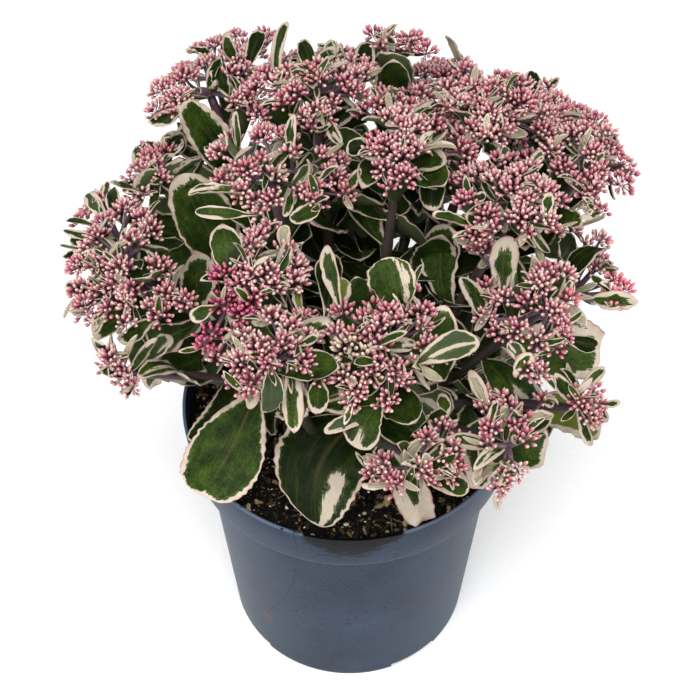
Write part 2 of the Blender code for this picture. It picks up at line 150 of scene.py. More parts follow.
# Each cluster of buds that shows from the front: where its middle lies and its radius, in pixels of
# the front view, with its kind where it isn't pink.
CLUSTERS_SEEN = {
    "back_left": (
        (160, 84, 11), (152, 104, 9), (179, 92, 12), (183, 66, 12), (198, 45, 9), (214, 41, 9),
        (222, 33, 7), (243, 37, 7), (258, 38, 9), (270, 34, 8), (239, 57, 10), (232, 70, 7),
        (250, 82, 8), (244, 94, 9), (234, 100, 6), (260, 111, 10), (258, 97, 7), (173, 108, 6),
        (170, 75, 8), (248, 66, 6), (236, 29, 7), (262, 29, 7),
    ),
    "back": (
        (286, 70, 10), (274, 80, 9), (304, 48, 9), (306, 67, 9), (294, 89, 9), (281, 98, 9),
        (320, 60, 9), (330, 46, 10), (342, 62, 11), (360, 55, 8), (370, 63, 9), (358, 86, 11),
        (318, 75, 8), (344, 77, 8), (330, 98, 9), (316, 109, 9), (328, 116, 7), (304, 115, 7),
        (310, 124, 6), (344, 48, 8), (296, 76, 6), (356, 70, 7),
    ),
    "far_back": ((374, 32, 8), (388, 35, 8), (410, 39, 11), (427, 50, 9), (381, 43, 7), (418, 34, 7)),
    "crown": (
        (384, 86, 10), (408, 88, 7), (421, 84, 10), (379, 100, 8), (391, 106, 9), (406, 104, 10),
        (422, 97, 9), (398, 120, 9), (416, 120, 11), (432, 119, 10), (374, 138, 9), (386, 144, 11),
        (402, 134, 9), (400, 152, 10), (418, 144, 8), (382, 166, 9), (406, 173, 11), (388, 185, 6),
        (370, 148, 7), (396, 94, 7),
    ),
    "right_back": (
        (462, 53, 6), (466, 66, 8), (444, 82, 10), (452, 91, 9), (444, 102, 8), (458, 99, 9),
        (468, 80, 10), (473, 95, 8), (492, 81, 10), (501, 74, 7), (486, 90, 7), (518, 78, 11),
        (508, 87, 8), (524, 98, 12), (536, 79, 8), (488, 110, 12), (477, 121, 10), (501, 126, 11),
        (480, 101, 8), (488, 133, 8), (510, 110, 9),
    ),
    "far_right": (
        (548, 79, 7), (542, 90, 9), (556, 92, 10), (570, 100, 9), (560, 111, 12), (577, 107, 9),
        (584, 113, 8), (545, 120, 10), (572, 127, 12), (596, 120, 10), (586, 125, 8), (606, 128, 9),
        (608, 142, 11), (596, 149, 10), (618, 148, 7), (626, 158, 9), (626, 180, 10), (633, 172, 5),
        (600, 170, 10), (592, 176, 7), (551, 146, 9), (562, 162, 10), (586, 192, 8), (576, 176, 7),
        (596, 186, 8), (594, 204, 6), (602, 210, 6), (530, 112, 8),
    ),
    "right": (
        (446, 131, 10), (439, 144, 9), (455, 139, 8), (438, 158, 8), (464, 154, 8), (462, 168, 11),
        (449, 172, 8), (480, 164, 12), (500, 155, 8), (514, 136, 11), (512, 150, 8), (531, 150, 10),
        (518, 164, 11), (533, 162, 8), (496, 172, 9), (542, 178, 11), (550, 187, 10), (462, 193, 10),
        (510, 186, 10), (526, 197, 11), (488, 210, 12), (472, 228, 12), (518, 211, 10), (550, 214, 11),
        (556, 225, 6), (491, 228, 7), (561, 200, 7), (529, 228, 6),
    ),
    "right_front": (
        (572, 224, 10), (604, 236, 9), (602, 253, 10), (598, 265, 9), (545, 265, 11), (540, 282, 11),
        (567, 267, 11), (534, 272, 7), (485, 245, 9), (474, 246, 6), (485, 285, 9), (502, 295, 9),
        (492, 298, 7), (482, 310, 9), (525, 297, 10), (497, 330, 9), (516, 328, 10), (555, 310, 11),
        (563, 323, 9), (540, 338, 10), (556, 346, 9), (566, 335, 8), (530, 366, 11), (541, 373, 9),
        (573, 293, 8, CORAL), (616, 275, 8, CORAL), (627, 282, 8, CORAL), (612, 290, 7, CORAL),
        (618, 298, 7, CORAL), (586, 238, 6),
    ),
    "left": (
        (97, 188, 9), (89, 200, 10), (103, 197, 7), (75, 211, 8), (103, 214, 11), (121, 199, 11),
        (131, 187, 8), (141, 210, 10), (149, 225, 12), (131, 235, 9), (95, 232, 10), (84, 245, 9),
        (74, 263, 11), (90, 260, 9), (117, 261, 11), (105, 252, 7), (161, 263, 12), (75, 284, 11),
        (101, 283, 10), (115, 280, 8), (129, 287, 11), (165, 290, 11), (187, 297, 9), (81, 302, 10),
        (76, 311, 7), (103, 308, 9), (125, 301, 9), (125, 320, 8), (151, 305, 8), (159, 315, 11),
        (88, 318, 6), (176, 298, 7),
    ),
    "left_back": (
        (144, 141, 6), (150, 153, 9), (153, 165, 11), (136, 168, 8), (142, 191, 7), (128, 176, 7),
        (162, 176, 7),
    ),
    "left_front": (
        (101, 347, 8), (108, 356, 9), (103, 363, 7), (116, 364, 8), (123, 374, 10), (130, 385, 9),
    ),
    "mid_left": (
        (226, 132, 9), (216, 148, 10), (218, 173, 10), (263, 129, 12), (288, 128, 11), (291, 146, 8),
        (261, 154, 8), (246, 166, 12), (279, 170, 9), (240, 191, 9), (251, 200, 7), (270, 196, 9),
        (256, 212, 7), (326, 152, 8), (342, 158, 8), (334, 172, 11), (320, 179, 7), (346, 190, 9),
        (306, 186, 7), (310, 198, 8), (321, 200, 6), (232, 158, 6),
    ),
    "front_left_inner": (
        (258, 229, 9), (268, 223, 8), (249, 239, 10), (239, 250, 9), (293, 245, 11), (302, 258, 12),
        (221, 266, 12, MAGENTA), (248, 258, 9), (250, 270, 8), (269, 267, 10), (233, 282, 10),
        (275, 281, 10), (297, 278, 11), (221, 300, 10, MAGENTA), (247, 301, 9, MAGENTA),
        (240, 312, 9, MAGENTA), (259, 292, 8), (207, 334, 11, MAGENTA), (203, 345, 7, MAGENTA),
        (215, 353, 8), (234, 330, 7),
    ),
    "front_left": (
        (271, 310, 11), (291, 318, 10), (307, 310, 10), (311, 330, 10), (324, 321, 9), (255, 342, 10),
        (268, 351, 11), (285, 337, 10), (245, 333, 8), (239, 360, 11), (233, 376, 8), (247, 380, 10),
        (243, 391, 7), (269, 365, 8), (305, 354, 10), (303, 365, 7), (323, 372, 10), (298, 342, 6),
    ),
    "front_right": (
        (380, 285, 8), (375, 297, 9), (388, 306, 9), (366, 311, 8), (380, 320, 9), (412, 285, 7),
        (407, 298, 9), (425, 306, 10), (400, 313, 8), (425, 323, 7), (340, 307, 10), (335, 325, 8),
        (370, 331, 9), (342, 345, 12, CREAM), (366, 350, 9, CREAM), (381, 343, 8), (430, 345, 11),
        (437, 353, 7), (397, 370, 11), (406, 380, 7), (372, 373, 10), (342, 375, 10), (357, 387, 10),
        (390, 396, 9), (350, 401, 9), (384, 406, 7), (376, 361, 7), (417, 361, 6), (352, 330, 8),
    ),
    "low_front": (
        (380, 459, 10), (370, 470, 8), (394, 480, 10), (403, 482, 6), (426, 431, 8), (439, 417, 9),
        (448, 421, 7), (455, 443, 9), (467, 437, 8), (422, 465, 10), (435, 475, 8), (447, 457, 7),
        (460, 462, 9), (456, 475, 6), (384, 471, 7),
    ),
    "low_right": (
        (485, 401, 9), (480, 390, 8), (490, 425, 9), (485, 438, 7), (510, 400, 9), (501, 394, 7),
        (517, 417, 9), (530, 430, 10), (528, 411, 7), (545, 395, 7), (505, 479, 9), (520, 472, 8),
        (500, 488, 8),
    ),
    "right_spur": ((577, 390, 7), (580, 401, 9), (600, 386, 8), (597, 415, 10), (601, 400, 8)),
}

# The largest leaves: the stem each grows from, how far up it (0 to 1), its tip in mm, its width
# in mm, its arch as a share of its length (positive bends the tip away from the face), the
# direction its upper face turns to, and the width of its cream margin in mm.
LARGE_LEAVES = {
    "front_left": ("left_front", 0.51, (-80, -68, 192), 43, 0.10, (0, -1, 2), 2.4),
    "front_centre": ("front_right", 0.28, (-17, -84, 186), 54, 0.10, (0, -1, 2), 2.0),
    "front_right": ("low_front", 0.45, (39, -82, 188), 26, 0.12, (0, -1, 2), 8.0),
    "low_left": ("left", 0.62, (-115, -8, 218), 34, 0.08, (-1, -2, 2), 3.0),
    "low_left_under": ("left", 0.40, (-86, -44, 208), 20, 0.08, (0, -1, 2), 1.5),
    "left_tall": ("left_back", 0.58, (-92, 50, 318), 36, 0.06, (2, -3, 1), 3.0),
    "left_round": ("left", 0.66, (-80, 14, 298), 22, -0.05, (1, -3, 2), 3.0),
    "top_left": ("back_left", 0.72, (-88, 76, 347), 24, 0.06, (1, -3, 2), 2.5),
    "top_centre": ("far_back", 0.72, (23, 88, 366), 24, -0.05, (0, -3, 1), 2.0),
    "middle_spear": ("back", 0.23, (-12, 36, 277), 14, -0.04, (0, -3, 1), 3.5),
    "middle_tall": ("right_back", 0.34, (49, 24, 300), 26, -0.08, (0, -3, 1), 2.0),
    "middle_dark": ("back", 0.56, (-20, 22, 312), 30, 0.06, (0, -2, 3), 2.5),
    "middle_right": ("right_front", 0.32, (73, 4, 237), 24, 0.05, (-1, -3, 2), 2.5),
    "far_right": ("right_front", 0.74, (133, -18, 256), 36, 0.10, (1, -2, 2), 4.0),
    "low_right": ("low_right", 0.80, (101, -78, 246), 30, 0.10, (1, -1, 2), 3.0),
    "spur": ("right_spur", 0.84, (131, -62, 246), 26, 0.10, (1, -1, 2), 3.0),
}

# Where one of them differs from the usual shape. A streak's place counts from the rib, 0, to an
# edge, 1 or -1, and its start from the root, 0, to the tip, 1.
LARGE_LEAF_SHAPES = {
    "front_left": {"widest": 0.66, "keel": 0.10, "cup": 0.30, "sweep": 0.05},
    "front_centre": {
        "widest": 0.46, "blunt": 0.62, "keel": 0.10, "sweep": -0.18, "streak": 0.45, "streak_start": 0.55,
        "kind": DARK_AND_SHADED,
    },
    "front_right": {"kind": WIDE_MARGIN, "keel": 0.50, "ruffle": 0.10, "streak": -0.3, "streak_start": 0.3},
    "low_left": {"ruffle": 0.07, "sweep": -0.12},
    "low_left_under": {"sweep": 0.16, "kind": DARK_AND_SHADED},
    "far_right": {"ruffle": 0.10, "streak": 0.6, "streak_start": 0.3},
    "middle_spear": {"keel": 0.6, "blunt": 0.8, "widest": 0.5},
    "spur": {"ruffle": 0.08, "kind": YELLOWING},
}

# The upper leaves that show from the front, by the stem each grows from: the pixels of its base
# and of its tip, its width in mm, how far its tip lies above its root in mm, the width of its
# cream margin in mm and its kind.
LEAVES_SEEN = {
    "back_left": (
        (236, 66, 226, 32, 9, 18, 1.3, GREEN), (242, 100, 226, 110, 4, -2, 1.0, PALE),
        (222, 152, 178, 128, 18, 0, 1.2, DARK_AND_SHADED), (188, 114, 148, 122, 9, -6, 1.4, WIDE_MARGIN),
        (234, 96, 220, 58, 12, 0, 1.0, DARK_AND_SHADED), (212, 66, 188, 50, 9, 0, 1.0, DARK_AND_SHADED),
        (252, 70, 262, 32, 11, 4, 1.0, DARK_AND_SHADED), (198, 120, 160, 124, 12, -8, 1.2, DARK_AND_SHADED),
        (206, 156, 186, 140, 14, -8, 1.0, DARK_AND_SHADED),
    ),
    "back": (
        (280, 78, 287, 22, 8, 26, 1.8, WIDE_MARGIN), (328, 116, 342, 145, 8, -4, 1.4, GREEN),
        (334, 132, 352, 108, 11, 12, 1.2, DARK_AND_SHADED), (300, 162, 322, 122, 12, 8, 1.4, SAGE),
        (368, 84, 386, 69, 3.5, 8, 1.0, PALE), (312, 80, 302, 40, 11, 4, 1.0, DARK_AND_SHADED),
        (338, 84, 330, 40, 10, 4, 1.2, SAGE), (362, 80, 366, 42, 11, 4, 1.0, DARK_AND_SHADED),
        (352, 140, 346, 94, 13, 2, 1.0, DARK_AND_SHADED), (374, 146, 366, 114, 13, 2, 1.0, DARK_AND_SHADED),
    ),
    "crown": (
        (376, 160, 346, 152, 12, 4, 1.2, DARK_AND_SHADED), (392, 182, 419, 216, 14, -14, 1.0, DARK_AND_SHADED),
        (436, 162, 431, 211, 18, -16, 1.2, DARK_AND_SHADED), (386, 220, 344, 186, 20, 10, 1.0, DARK_AND_SHADED),
        (412, 150, 456, 148, 5, 2, 1.0, PALE),
    ),
    "right_back": (
        (443, 70, 446, 36, 4.5, 20, 1.2, PALE), (524, 108, 534, 72, 11, 4, 1.0, DARK_AND_SHADED),
        (537, 120, 533, 103, 5, 8, 1.0, GREEN),
    ),
    "far_right": (
        (545, 92, 559, 78, 5, 8, 1.0, GREEN), (613, 172, 615, 200, 2.4, -10, 0.3, GREEN),
    ),
    "right": (
        (463, 150, 464, 117, 8, 14, 1.4, GREEN), (550, 216, 549, 192, 7, 12, 1.2, GREEN),
        (486, 150, 505, 147, 5, 4, 0.5, SAGE), (540, 206, 538, 233, 5, -8, 1.5, PALE),
        (502, 204, 504, 233, 6, -8, 1.5, PALE), (472, 222, 432, 216, 8, 4, 1.0, GREEN),
        (472, 204, 486, 193, 6, 4, 1.0, DARK_AND_SHADED), (438, 300, 441, 224, 18, 30, 1.8, GREEN),
        (492, 250, 455, 240, 5, 2, 2.0, PALE), (488, 246, 478, 268, 5, -6, 2.0, PALE),
        (506, 178, 482, 142, 14, 2, 1.0, DARK_AND_SHADED),
    ),
    "right_front": (
        (482, 332, 460, 277, 11, 14, 1.2, GREEN), (508, 290, 508, 236, 15, 18, 3.4, WIDE_MARGIN),
        (500, 394, 517, 356, 15, 10, 2.6, WIDE_MARGIN), (566, 330, 599, 346, 12, -4, 0.8, DARK_AND_SHADED),
        (560, 302, 571, 280, 7, 8, 1.2, SAGE), (582, 301, 638, 302, 9, 2, 2.4, WIDE_MARGIN),
        (560, 270, 606, 250, 13, -2, 1.0, DARK_AND_SHADED), (556, 262, 574, 236, 12, -2, 1.0, DARK_AND_SHADED),
        (576, 226, 606, 216, 4, 6, 1.4, PALE), (520, 280, 532, 255, 6, 8, 2.0, PALE),
        (484, 300, 474, 331, 6, -10, 2.0, PALE), (512, 374, 508, 342, 8, 10, 1.2, SAGE),
        (470, 350, 446, 322, 12, 4, 0.8, DARK_AND_SHADED),
    ),
    "left_back": (
        (200, 156, 184, 141, 8, 8, 0.8, DARK_AND_SHADED), (200, 170, 182, 132, 15, 10, 1.2, DARK_AND_SHADED),
        (184, 212, 152, 202, 10, 0, 1.0, SAGE), (204, 178, 172, 150, 17, -4, 1.0, DARK_AND_SHADED),
        (196, 178, 178, 163, 7, 6, 1.2, GREEN), (228, 224, 172, 192, 10, 10, 1.0, SAGE),
        (134, 200, 110, 182, 5, 8, 1.0, GREEN),
    ),
    "left": (
        (136, 268, 133, 240, 7, 12, 1.4, SAGE), (96, 222, 66, 221, 5, 2, 0.9, GREEN),
        (98, 234, 63, 230, 5, 0, 0.9, GREEN), (86, 246, 60, 245, 2.5, 0, 0.5, SAGE),
        (111, 206, 108, 181, 5, 8, 1.0, GREEN), (108, 324, 93, 335, 4, -4, 1.0, PALE),
        (140, 302, 148, 346, 5, -14, 0.8, GREEN), (178, 288, 184, 265, 5, 8, 2.0, PALE),
        (60, 300, 64, 318, 3, -6, 0.8, PALE), (200, 312, 150, 364, 30, 16, 2.2, GREEN),
        (226, 344, 180, 384, 28, 20, 1.6, SAGE), (206, 302, 140, 318, 20, -4, 1.2, DARK_AND_SHADED),
        (150, 322, 118, 340, 9, -8, 1.6, WIDE_MARGIN), (112, 226, 70, 242, 10, -4, 1.0, DARK_AND_SHADED),
        (122, 226, 112, 190, 10, 2, 1.0, DARK_AND_SHADED), (112, 300, 66, 284, 9, -6, 1.0, DARK_AND_SHADED),
        (104, 222, 88, 194, 9, 0, 1.2, SAGE), (90, 262, 64, 256, 8, -4, 1.0, DARK_AND_SHADED),
    ),
    "left_front": (
        (139, 352, 171, 336, 10, 8, 1.8, SAGE), (214, 384, 138, 378, 15, 48, 2.2, GREEN),
        (124, 352, 96, 346, 7, -4, 1.2, DARK_AND_SHADED), (140, 378, 127, 396, 5, -6, 0.5, DARK_AND_SHADED),
    ),
    "mid_left": (
        (292, 158, 294, 114, 7, 18, 1.3, GREEN), (290, 188, 317, 166, 9, 6, 0.5, SAGE),
        (252, 152, 236, 111, 6, 20, 1.2, GREEN), (236, 206, 188, 195, 9, 4, 0.8, GREEN),
        (290, 196, 284, 217, 7, -4, 1.6, WIDE_MARGIN), (222, 178, 243, 197, 5, -2, 1.0, GREEN),
        (332, 196, 353, 209, 4, -6, 1.2, PALE), (240, 230, 195, 212, 8, 4, 0.8, GREEN),
        (318, 236, 291, 222, 10, 2, 0.9, GREEN), (322, 262, 302, 208, 17, 12, 1.0, DARK_AND_SHADED),
    ),
    "front_left_inner": (
        (222, 272, 222, 224, 17, 22, 1.2, GREEN), (290, 250, 286, 225, 6, 10, 2.0, PALE),
        (238, 330, 229, 345, 5, -4, 2.0, PALE), (205, 300, 190, 318, 8, -6, 1.6, WIDE_MARGIN),
    ),
    "front_left": (
        (345, 302, 333, 255, 20, 14, 1.0, DARK_AND_SHADED), (316, 304, 298, 289, 8, 6, 2.0, YELLOWING),
        (276, 326, 251, 322, 5, 2, 2.0, PALE), (286, 364, 294, 433, 12, -16, 3.2, WIDE_MARGIN),
        (270, 366, 264, 412, 11, -14, 0.6, SAGE), (256, 370, 249, 409, 7, -12, 3.0, PALE),
        (340, 392, 316, 414, 12, -4, 1.6, GREEN),
    ),
    "front_right": (
        (331, 308, 327, 245, 11, 22, 2.6, WIDE_MARGIN), (402, 306, 388, 257, 20, 22, 1.4, GREEN),
        (428, 382, 479, 341, 15, 6, 1.4, SAGE), (378, 352, 416, 344, 9, 2, 2.0, WIDE_MARGIN),
        (352, 300, 340, 277, 8, 8, 2.0, YELLOWING), (412, 346, 456, 352, 5, -2, 1.6, PALE),
        (395, 410, 324, 432, 9, -6, 1.8, SAGE), (398, 430, 356, 448, 18, -10, 1.0, GREEN),
    ),
    "low_front": (
        (418, 416, 442, 393, 7, 10, 1.6, GREEN), (386, 500, 361, 484, 5, 2, 2.0, PALE),
        (416, 426, 402, 463, 9, -12, 2.6, PALE), (395, 462, 360, 458, 6, 0, 2.0, PALE),
    ),
    "low_right": (
        (535, 380, 554, 402, 8, -2, 1.6, WIDE_MARGIN), (525, 400, 552, 417, 8, -4, 2.4, PALE),
        (476, 436, 500, 472, 16, -10, 0.8, GREEN), (502, 464, 476, 487, 10, -4, 3.0, PALE),
        (500, 488, 497, 510, 4, -8, 2.0, PALE), (470, 412, 470, 370, 7, 16, 2.4, PALE),
    ),
    "right_spur": (
        (578, 386, 604, 367, 6, 8, 1.6, WIDE_MARGIN), (576, 408, 591, 445, 7, -14, 2.2, WIDE_MARGIN),
        (600, 398, 620, 402, 4, 0, 1.4, WIDE_MARGIN),
    ),
}

# The plant's outline in the front view, in pixels: no small leaf shows beyond it.
PLANT_OUTLINE = (
    (143, 100), (148, 82), (172, 60), (200, 38), (232, 28), (252, 36), (270, 26), (284, 22),
    (296, 42), (318, 36), (350, 38), (370, 28), (398, 24), (424, 34), (440, 44), (450, 62),
    (458, 48), (476, 58), (492, 72), (532, 70), (560, 78), (592, 102), (612, 125), (634, 158),
    (634, 184), (612, 200), (604, 214), (612, 250), (636, 275), (636, 300), (592, 312),
    (600, 340), (592, 372), (610, 392), (608, 424), (580, 442), (552, 428), (546, 460),
    (520, 480), (500, 504), (478, 496), (440, 492), (424, 520), (402, 500), (380, 478),
    (352, 476), (322, 526), (296, 512), (276, 470), (262, 452), (240, 480), (206, 496),
    (186, 476), (184, 430), (206, 392), (180, 376), (146, 376), (138, 394), (112, 386), (94, 366),
    (92, 345), (78, 328), (66, 310), (63, 262), (64, 230), (86, 192), (120, 188), (134, 168),
    (136, 146), (154, 130),
)

# The places of the leaf pairs on a stem, as shares of its height, how much and how far the stem
# swells at each, and how far each pair is turned from the one below.
LEAF_NODES = (0.20, 0.31, 0.42, 0.52, 0.62, 0.72, 0.81, 0.89, 0.95)
NODE_SWELL = 0.10
NODE_REACH = 0.012
PAIR_TURN = math.radians(97.0)

# How far the leaves of a stem lean from it, in degrees, and how long they are, each at some
# shares of its height.
LEAN_SHARES, LEAF_LEANS = (0.2, 0.6, 0.9), (76.0, 62.0, 46.0)
LENGTH_SHARES, LEAF_LENGTHS_MM = (0.15, 0.3, 0.5, 0.7, 0.9), (38.0, 54.0, 60.0, 54.0, 38.0)
# A stem's leaves below this share of its height are painted dark with narrower margins: painted shade under
# the heads.
LOWER_LEAVES = 0.6

# Rings and sides of the blades.
LARGE_LEAF_GRID = (40, 44)
SEEN_LEAF_GRID = (20, 22)
STEM_LEAF_GRID = (14, 14)
LARGE_BRACT_GRID = (12, 10)
SMALL_BRACT_GRID = (8, 8)

# A streak that starts past the tip, 1, isn't there.
NO_STREAK = 2.0
STREAK_HALF_WIDTH = 0.17
STREAK_MIDDLE = 0.4
CREAM_REACH = 0.55
RIB_GROOVE = 0.35 * MM
RIB_WIDTH = 0.9 * MM

# The shortest and longest bracts under a cluster, at a fork and in the collar, and the usual
# margin of each, in mm.
BRACT_LENGTHS = ((8.5, 16.0), (13.0, 23.0), (20.0, 30.0))
BRACT_MARGINS = (0.9, 1.2, 1.6)
LARGE_BRACT = 20.0 * MM

DOME_RISE = 9.0 * MM
DOME_DROP = 9.0 * MM
DOME_REACH = 2.7
DOME_EDGE = 2.2
HEAD_CLEARANCE = 7.0 * MM
MATCH_ROUNDS = 24
MATCH_STEP = 0.4
BRANCH_SECTORS = 6.0
MIDDLE_BRANCH_REACH = 0.42
BRANCH_RADII_MM = (1.9, 1.35)
TWIG_RADII_MM = (1.2, 0.8)

CLUSTER_DROP = 0.55
CLUSTER_SCALE = 1.16
HIDDEN_CLUSTER_PIXELS = 11.0
HIDDEN_CLUSTER_REACH = 6.0 * MM
HIDDEN_CLUSTER_ROOM_MM2 = 36.0
BACK_HEAD_DEPTH_MM = 35.0
BACK_ROW_CLUSTERS = 7
BACK_ROW_RADIUS = 1.22
PEDICEL_RADIUS = 0.45 * MM
BUD_ROWS = np.array((0.10, 0.40, 0.78))
BUD_WIDTHS = np.array((0.62, 1.0, 0.66))
BUD_SIDES = 5
FEWEST_BUDS = 5

# The margin of a solid's cell on the map, as a share of the cell.
CELL_MARGIN = 0.06

CRUMB_SIDES = 6
FIBRE_RADIUS = 0.22 * MM
SPECK_SPACING = 5.2 * MM
SCRATCH_MIDDLE = (-0.2925, 0.0, 0.1585)
SCRATCH_RADIUS = 0.264
SCRATCH_RIGHT_END = -28.5 * MM
SCRATCH_LOW_END = 28.0 * MM
SMEAR_MIDDLE = (-0.050, -0.057, 0.046)
SMEAR_RADIUS = 11.0 * MM
STAIN_HALF_WIDTH = 29.0 * MM
STAIN_DEPTH = 17.0 * MM


def srgb(text):
    """Linear RGBA of an sRGB hex value."""
    channels = np.array([int(text[i : i + 2], 16) for i in (1, 3, 5)]) / 255.0
    linear = np.where(channels <= 0.04045, channels / 12.92, ((channels + 0.055) / 1.055) ** 2.4)
    return (*linear.tolist(), 1.0)


def unit(vectors):
    """Vectors of the same directions, 1 long."""
    return vectors / np.linalg.norm(vectors, axis=-1, keepdims=True)


def between(first, second, turn):
    """Directions turned from the first towards the second, which is square to it: the turn's
    cosine times the first and its sine times the second."""
    return np.cos(turn)[..., None] * first + np.sin(turn)[..., None] * second


def generator(*names):
    """A random generator of its own for each named piece, the same each run."""
    return np.random.default_rng([ord(letter) for name in names for letter in name])


# The front view.


def view_axes():
    """Camera place, and the unit vectors forwards, right and up of the front view."""
    forward = np.array((0.0, math.cos(VIEW_ELEVATION), -math.sin(VIEW_ELEVATION)))
    return VIEW_TARGET - forward * VIEW_DISTANCE, forward, RIGHT, np.cross(RIGHT, forward)


def view_pixels(points):
    """Pixels where points show: offsets right and up over the distance forwards, times the
    focal length."""
    place, forward, right, up = view_axes()
    away = points - place
    depth = away @ forward
    across = VIEW_MIDDLE[0] + VIEW_FOCAL_PIXELS * (away @ right) / depth
    down = VIEW_MIDDLE[1] - VIEW_FOCAL_PIXELS * (away @ up) / depth
    return np.stack((across, down), -1)


def view_at_height(pixels, height):
    """Points at a height that show at the pixels."""
    place, forward, right, up = view_axes()
    offset = (np.asarray(pixels, float) - VIEW_MIDDLE) / VIEW_FOCAL_PIXELS
    rays = forward + offset[..., :1] * right - offset[..., 1:] * up
    return place + rays * ((height - place[2]) / rays[..., 2])[..., None]


def inside_outline(pixels):
    """Whether pixels lie inside the plant's outline: a line to the right of each one crosses
    the outline an odd number of times."""
    outline = np.array(PLANT_OUTLINE, float)
    ahead = np.roll(outline, -1, axis=0)
    x, y = pixels[..., 0, None], pixels[..., 1, None]
    spans = (outline[:, 1] > y) != (ahead[:, 1] > y)
    rise = np.where(ahead[:, 1] == outline[:, 1], 1.0, ahead[:, 1] - outline[:, 1])
    cross = outline[:, 0] + (y - outline[:, 1]) / rise * (ahead[:, 0] - outline[:, 0])
    return (spans & (x < cross)).sum(-1) % 2 == 1


# Ring solids.


class Growth:
    """Closed ring solids gathered into one piece.

    A ring solid is a row of rings of vertices that go anticlockwise round the row's direction,
    closed at each end by one more vertex. Its map puts every solid in a cell of its own."""

    def __init__(self):
        self.points, self.quads, self.tris, self.places, self.values = [], [], [], [], []
        self.vertices = 0
        self.cells = 0

    def add(self, rings, ends, **values):
        """Add copies of one kind of solid: rings is copies x rows x sides x 3, ends is copies x
        2 x 3, and each value is a pair of arrays of those shapes, or of one number a vertex."""
        copies, rows, sides = rings.shape[:3]
        stride = rows * sides + 2
        first = self.vertices + stride * np.arange(copies)[:, None, None]
        row = np.arange(rows - 1)[:, None] * sides
        side = np.arange(sides)[None, :]
        after = (side + 1) % sides
        corners = (row + side, row + after, row + sides + after, row + sides + side)
        quads = np.stack(corners, -1).reshape(1, -1, 4) + first
        start, end = rows * sides, rows * sides + 1
        last = (rows - 1) * sides
        side, after = side[0], after[0]
        start_fan = np.stack((np.full(sides, start), after, side), -1)
        end_fan = np.stack((np.full(sides, end), last + side, last + after), -1)
        tris = np.concatenate((start_fan, end_fan))[None] + first
        self.points.append(np.concatenate((rings.reshape(copies, -1, 3), ends), 1).reshape(-1, 3))
        self.quads.append(quads.reshape(-1, 4))
        self.tris.append(tris.reshape(-1, 3))
        self.places.append(self.map_cells(copies, rows, sides))
        joined = {}
        for name, (of_rings, of_ends) in values.items():
            size = of_rings.shape[3:]
            flat = of_rings.reshape(copies, rows * sides, *size)
            joined[name] = np.concatenate((flat, of_ends), 1).reshape(-1, *size)
        self.values.append(joined)
        self.vertices += copies * stride
        self.cells += copies

    def map_cells(self, copies, rows, sides):
        """Corner places of the quads and the triangles in their cells, and each copy's cell:
        round the ring is across a cell, along the row is up it."""
        side, row = np.arange(sides)[:, None], np.arange(rows - 1)[:, None, None]

        def corners(across, up):
            places = ((side + np.array(across)) / sides, up / (rows + 1.0))
            return np.stack(np.broadcast_arrays(*places), -1)

        quads = corners((0.0, 1.0, 1.0, 0.0), row + np.array((1.0, 1.0, 2.0, 2.0)))
        start_fan = corners((0.5, 1.0, 0.0), np.array((0.0, 1.0, 1.0)))
        end_fan = corners((0.5, 0.0, 1.0), rows + np.array((1.0, 0.0, 0.0)))
        tris = np.concatenate((start_fan, end_fan))
        return quads.reshape(-1, 4, 2), tris, self.cells + np.arange(copies)

    def map_places(self):
        """All corner places, quads first: each cell is a square of the map with a margin."""
        across = math.ceil(math.sqrt(max(self.cells, 1)))
        quads, tris = [], []
        for *places, cell in self.places:
            corner = np.stack((cell % across, cell // across), -1)[:, None, None, :]
            for place, target in zip(places, (quads, tris)):
                place = CELL_MARGIN + (1.0 - 2.0 * CELL_MARGIN) * place
                target.append(((corner + place) / across).reshape(-1, 2))
        return np.concatenate(quads + tris)

    def mesh(self, name):
        """The solids as one smooth mesh with its map and values."""
        points = np.concatenate(self.points).astype(np.float32)
        quads, tris = np.concatenate(self.quads), np.concatenate(self.tris)
        tri_starts = len(quads) * 4 + np.arange(len(tris)) * 3
        starts = np.concatenate((np.arange(len(quads)) * 4, tri_starts)).astype(np.int32)
        corners = np.concatenate((quads.ravel(), tris.ravel())).astype(np.int32)
        mesh = bpy.data.meshes.new(name)
        mesh.vertices.add(len(points))
        mesh.vertices.foreach_set("co", points.ravel())
        mesh.loops.add(len(corners))
        mesh.loops.foreach_set("vertex_index", corners)
        mesh.polygons.add(len(starts))
        mesh.polygons.foreach_set("loop_start", starts)
        mesh.polygons.foreach_set("use_smooth", np.ones(len(starts), bool))
        layer = mesh.uv_layers.new(name="OFBake")
        layer.data.foreach_set("uv", self.map_places().astype(np.float32).ravel())
        for key in self.values[0]:
            value = np.concatenate([joined[key] for joined in self.values]).astype(np.float32)
            attribute = mesh.attributes.new(key, "FLOAT_VECTOR", "POINT")
            attribute.data.foreach_set("vector", value.ravel())
        mesh.update(calc_edges=True)
        if mesh.validate():
            raise RuntimeError(f"{name} had faces that no mesh can hold")
        return mesh

    def build(self, name, material, slot, *replaced):
        """Make the piece with its material; the CAD nodes named last are hidden."""
        mesh = self.mesh(name)
        mesh.materials.append(material)
        return place_piece(name, mesh, replaced)


def place_piece(name, mesh, replaced):
    """A mesh as a piece of the plant: it rides on the body, and the CAD nodes it replaces are hidden."""
    piece = bpy.data.objects.new(name, mesh)
    bpy.context.scene.collection.objects.link(piece)
    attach(piece, BODY)
    if replaced:
        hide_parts(*replaced)
    return piece


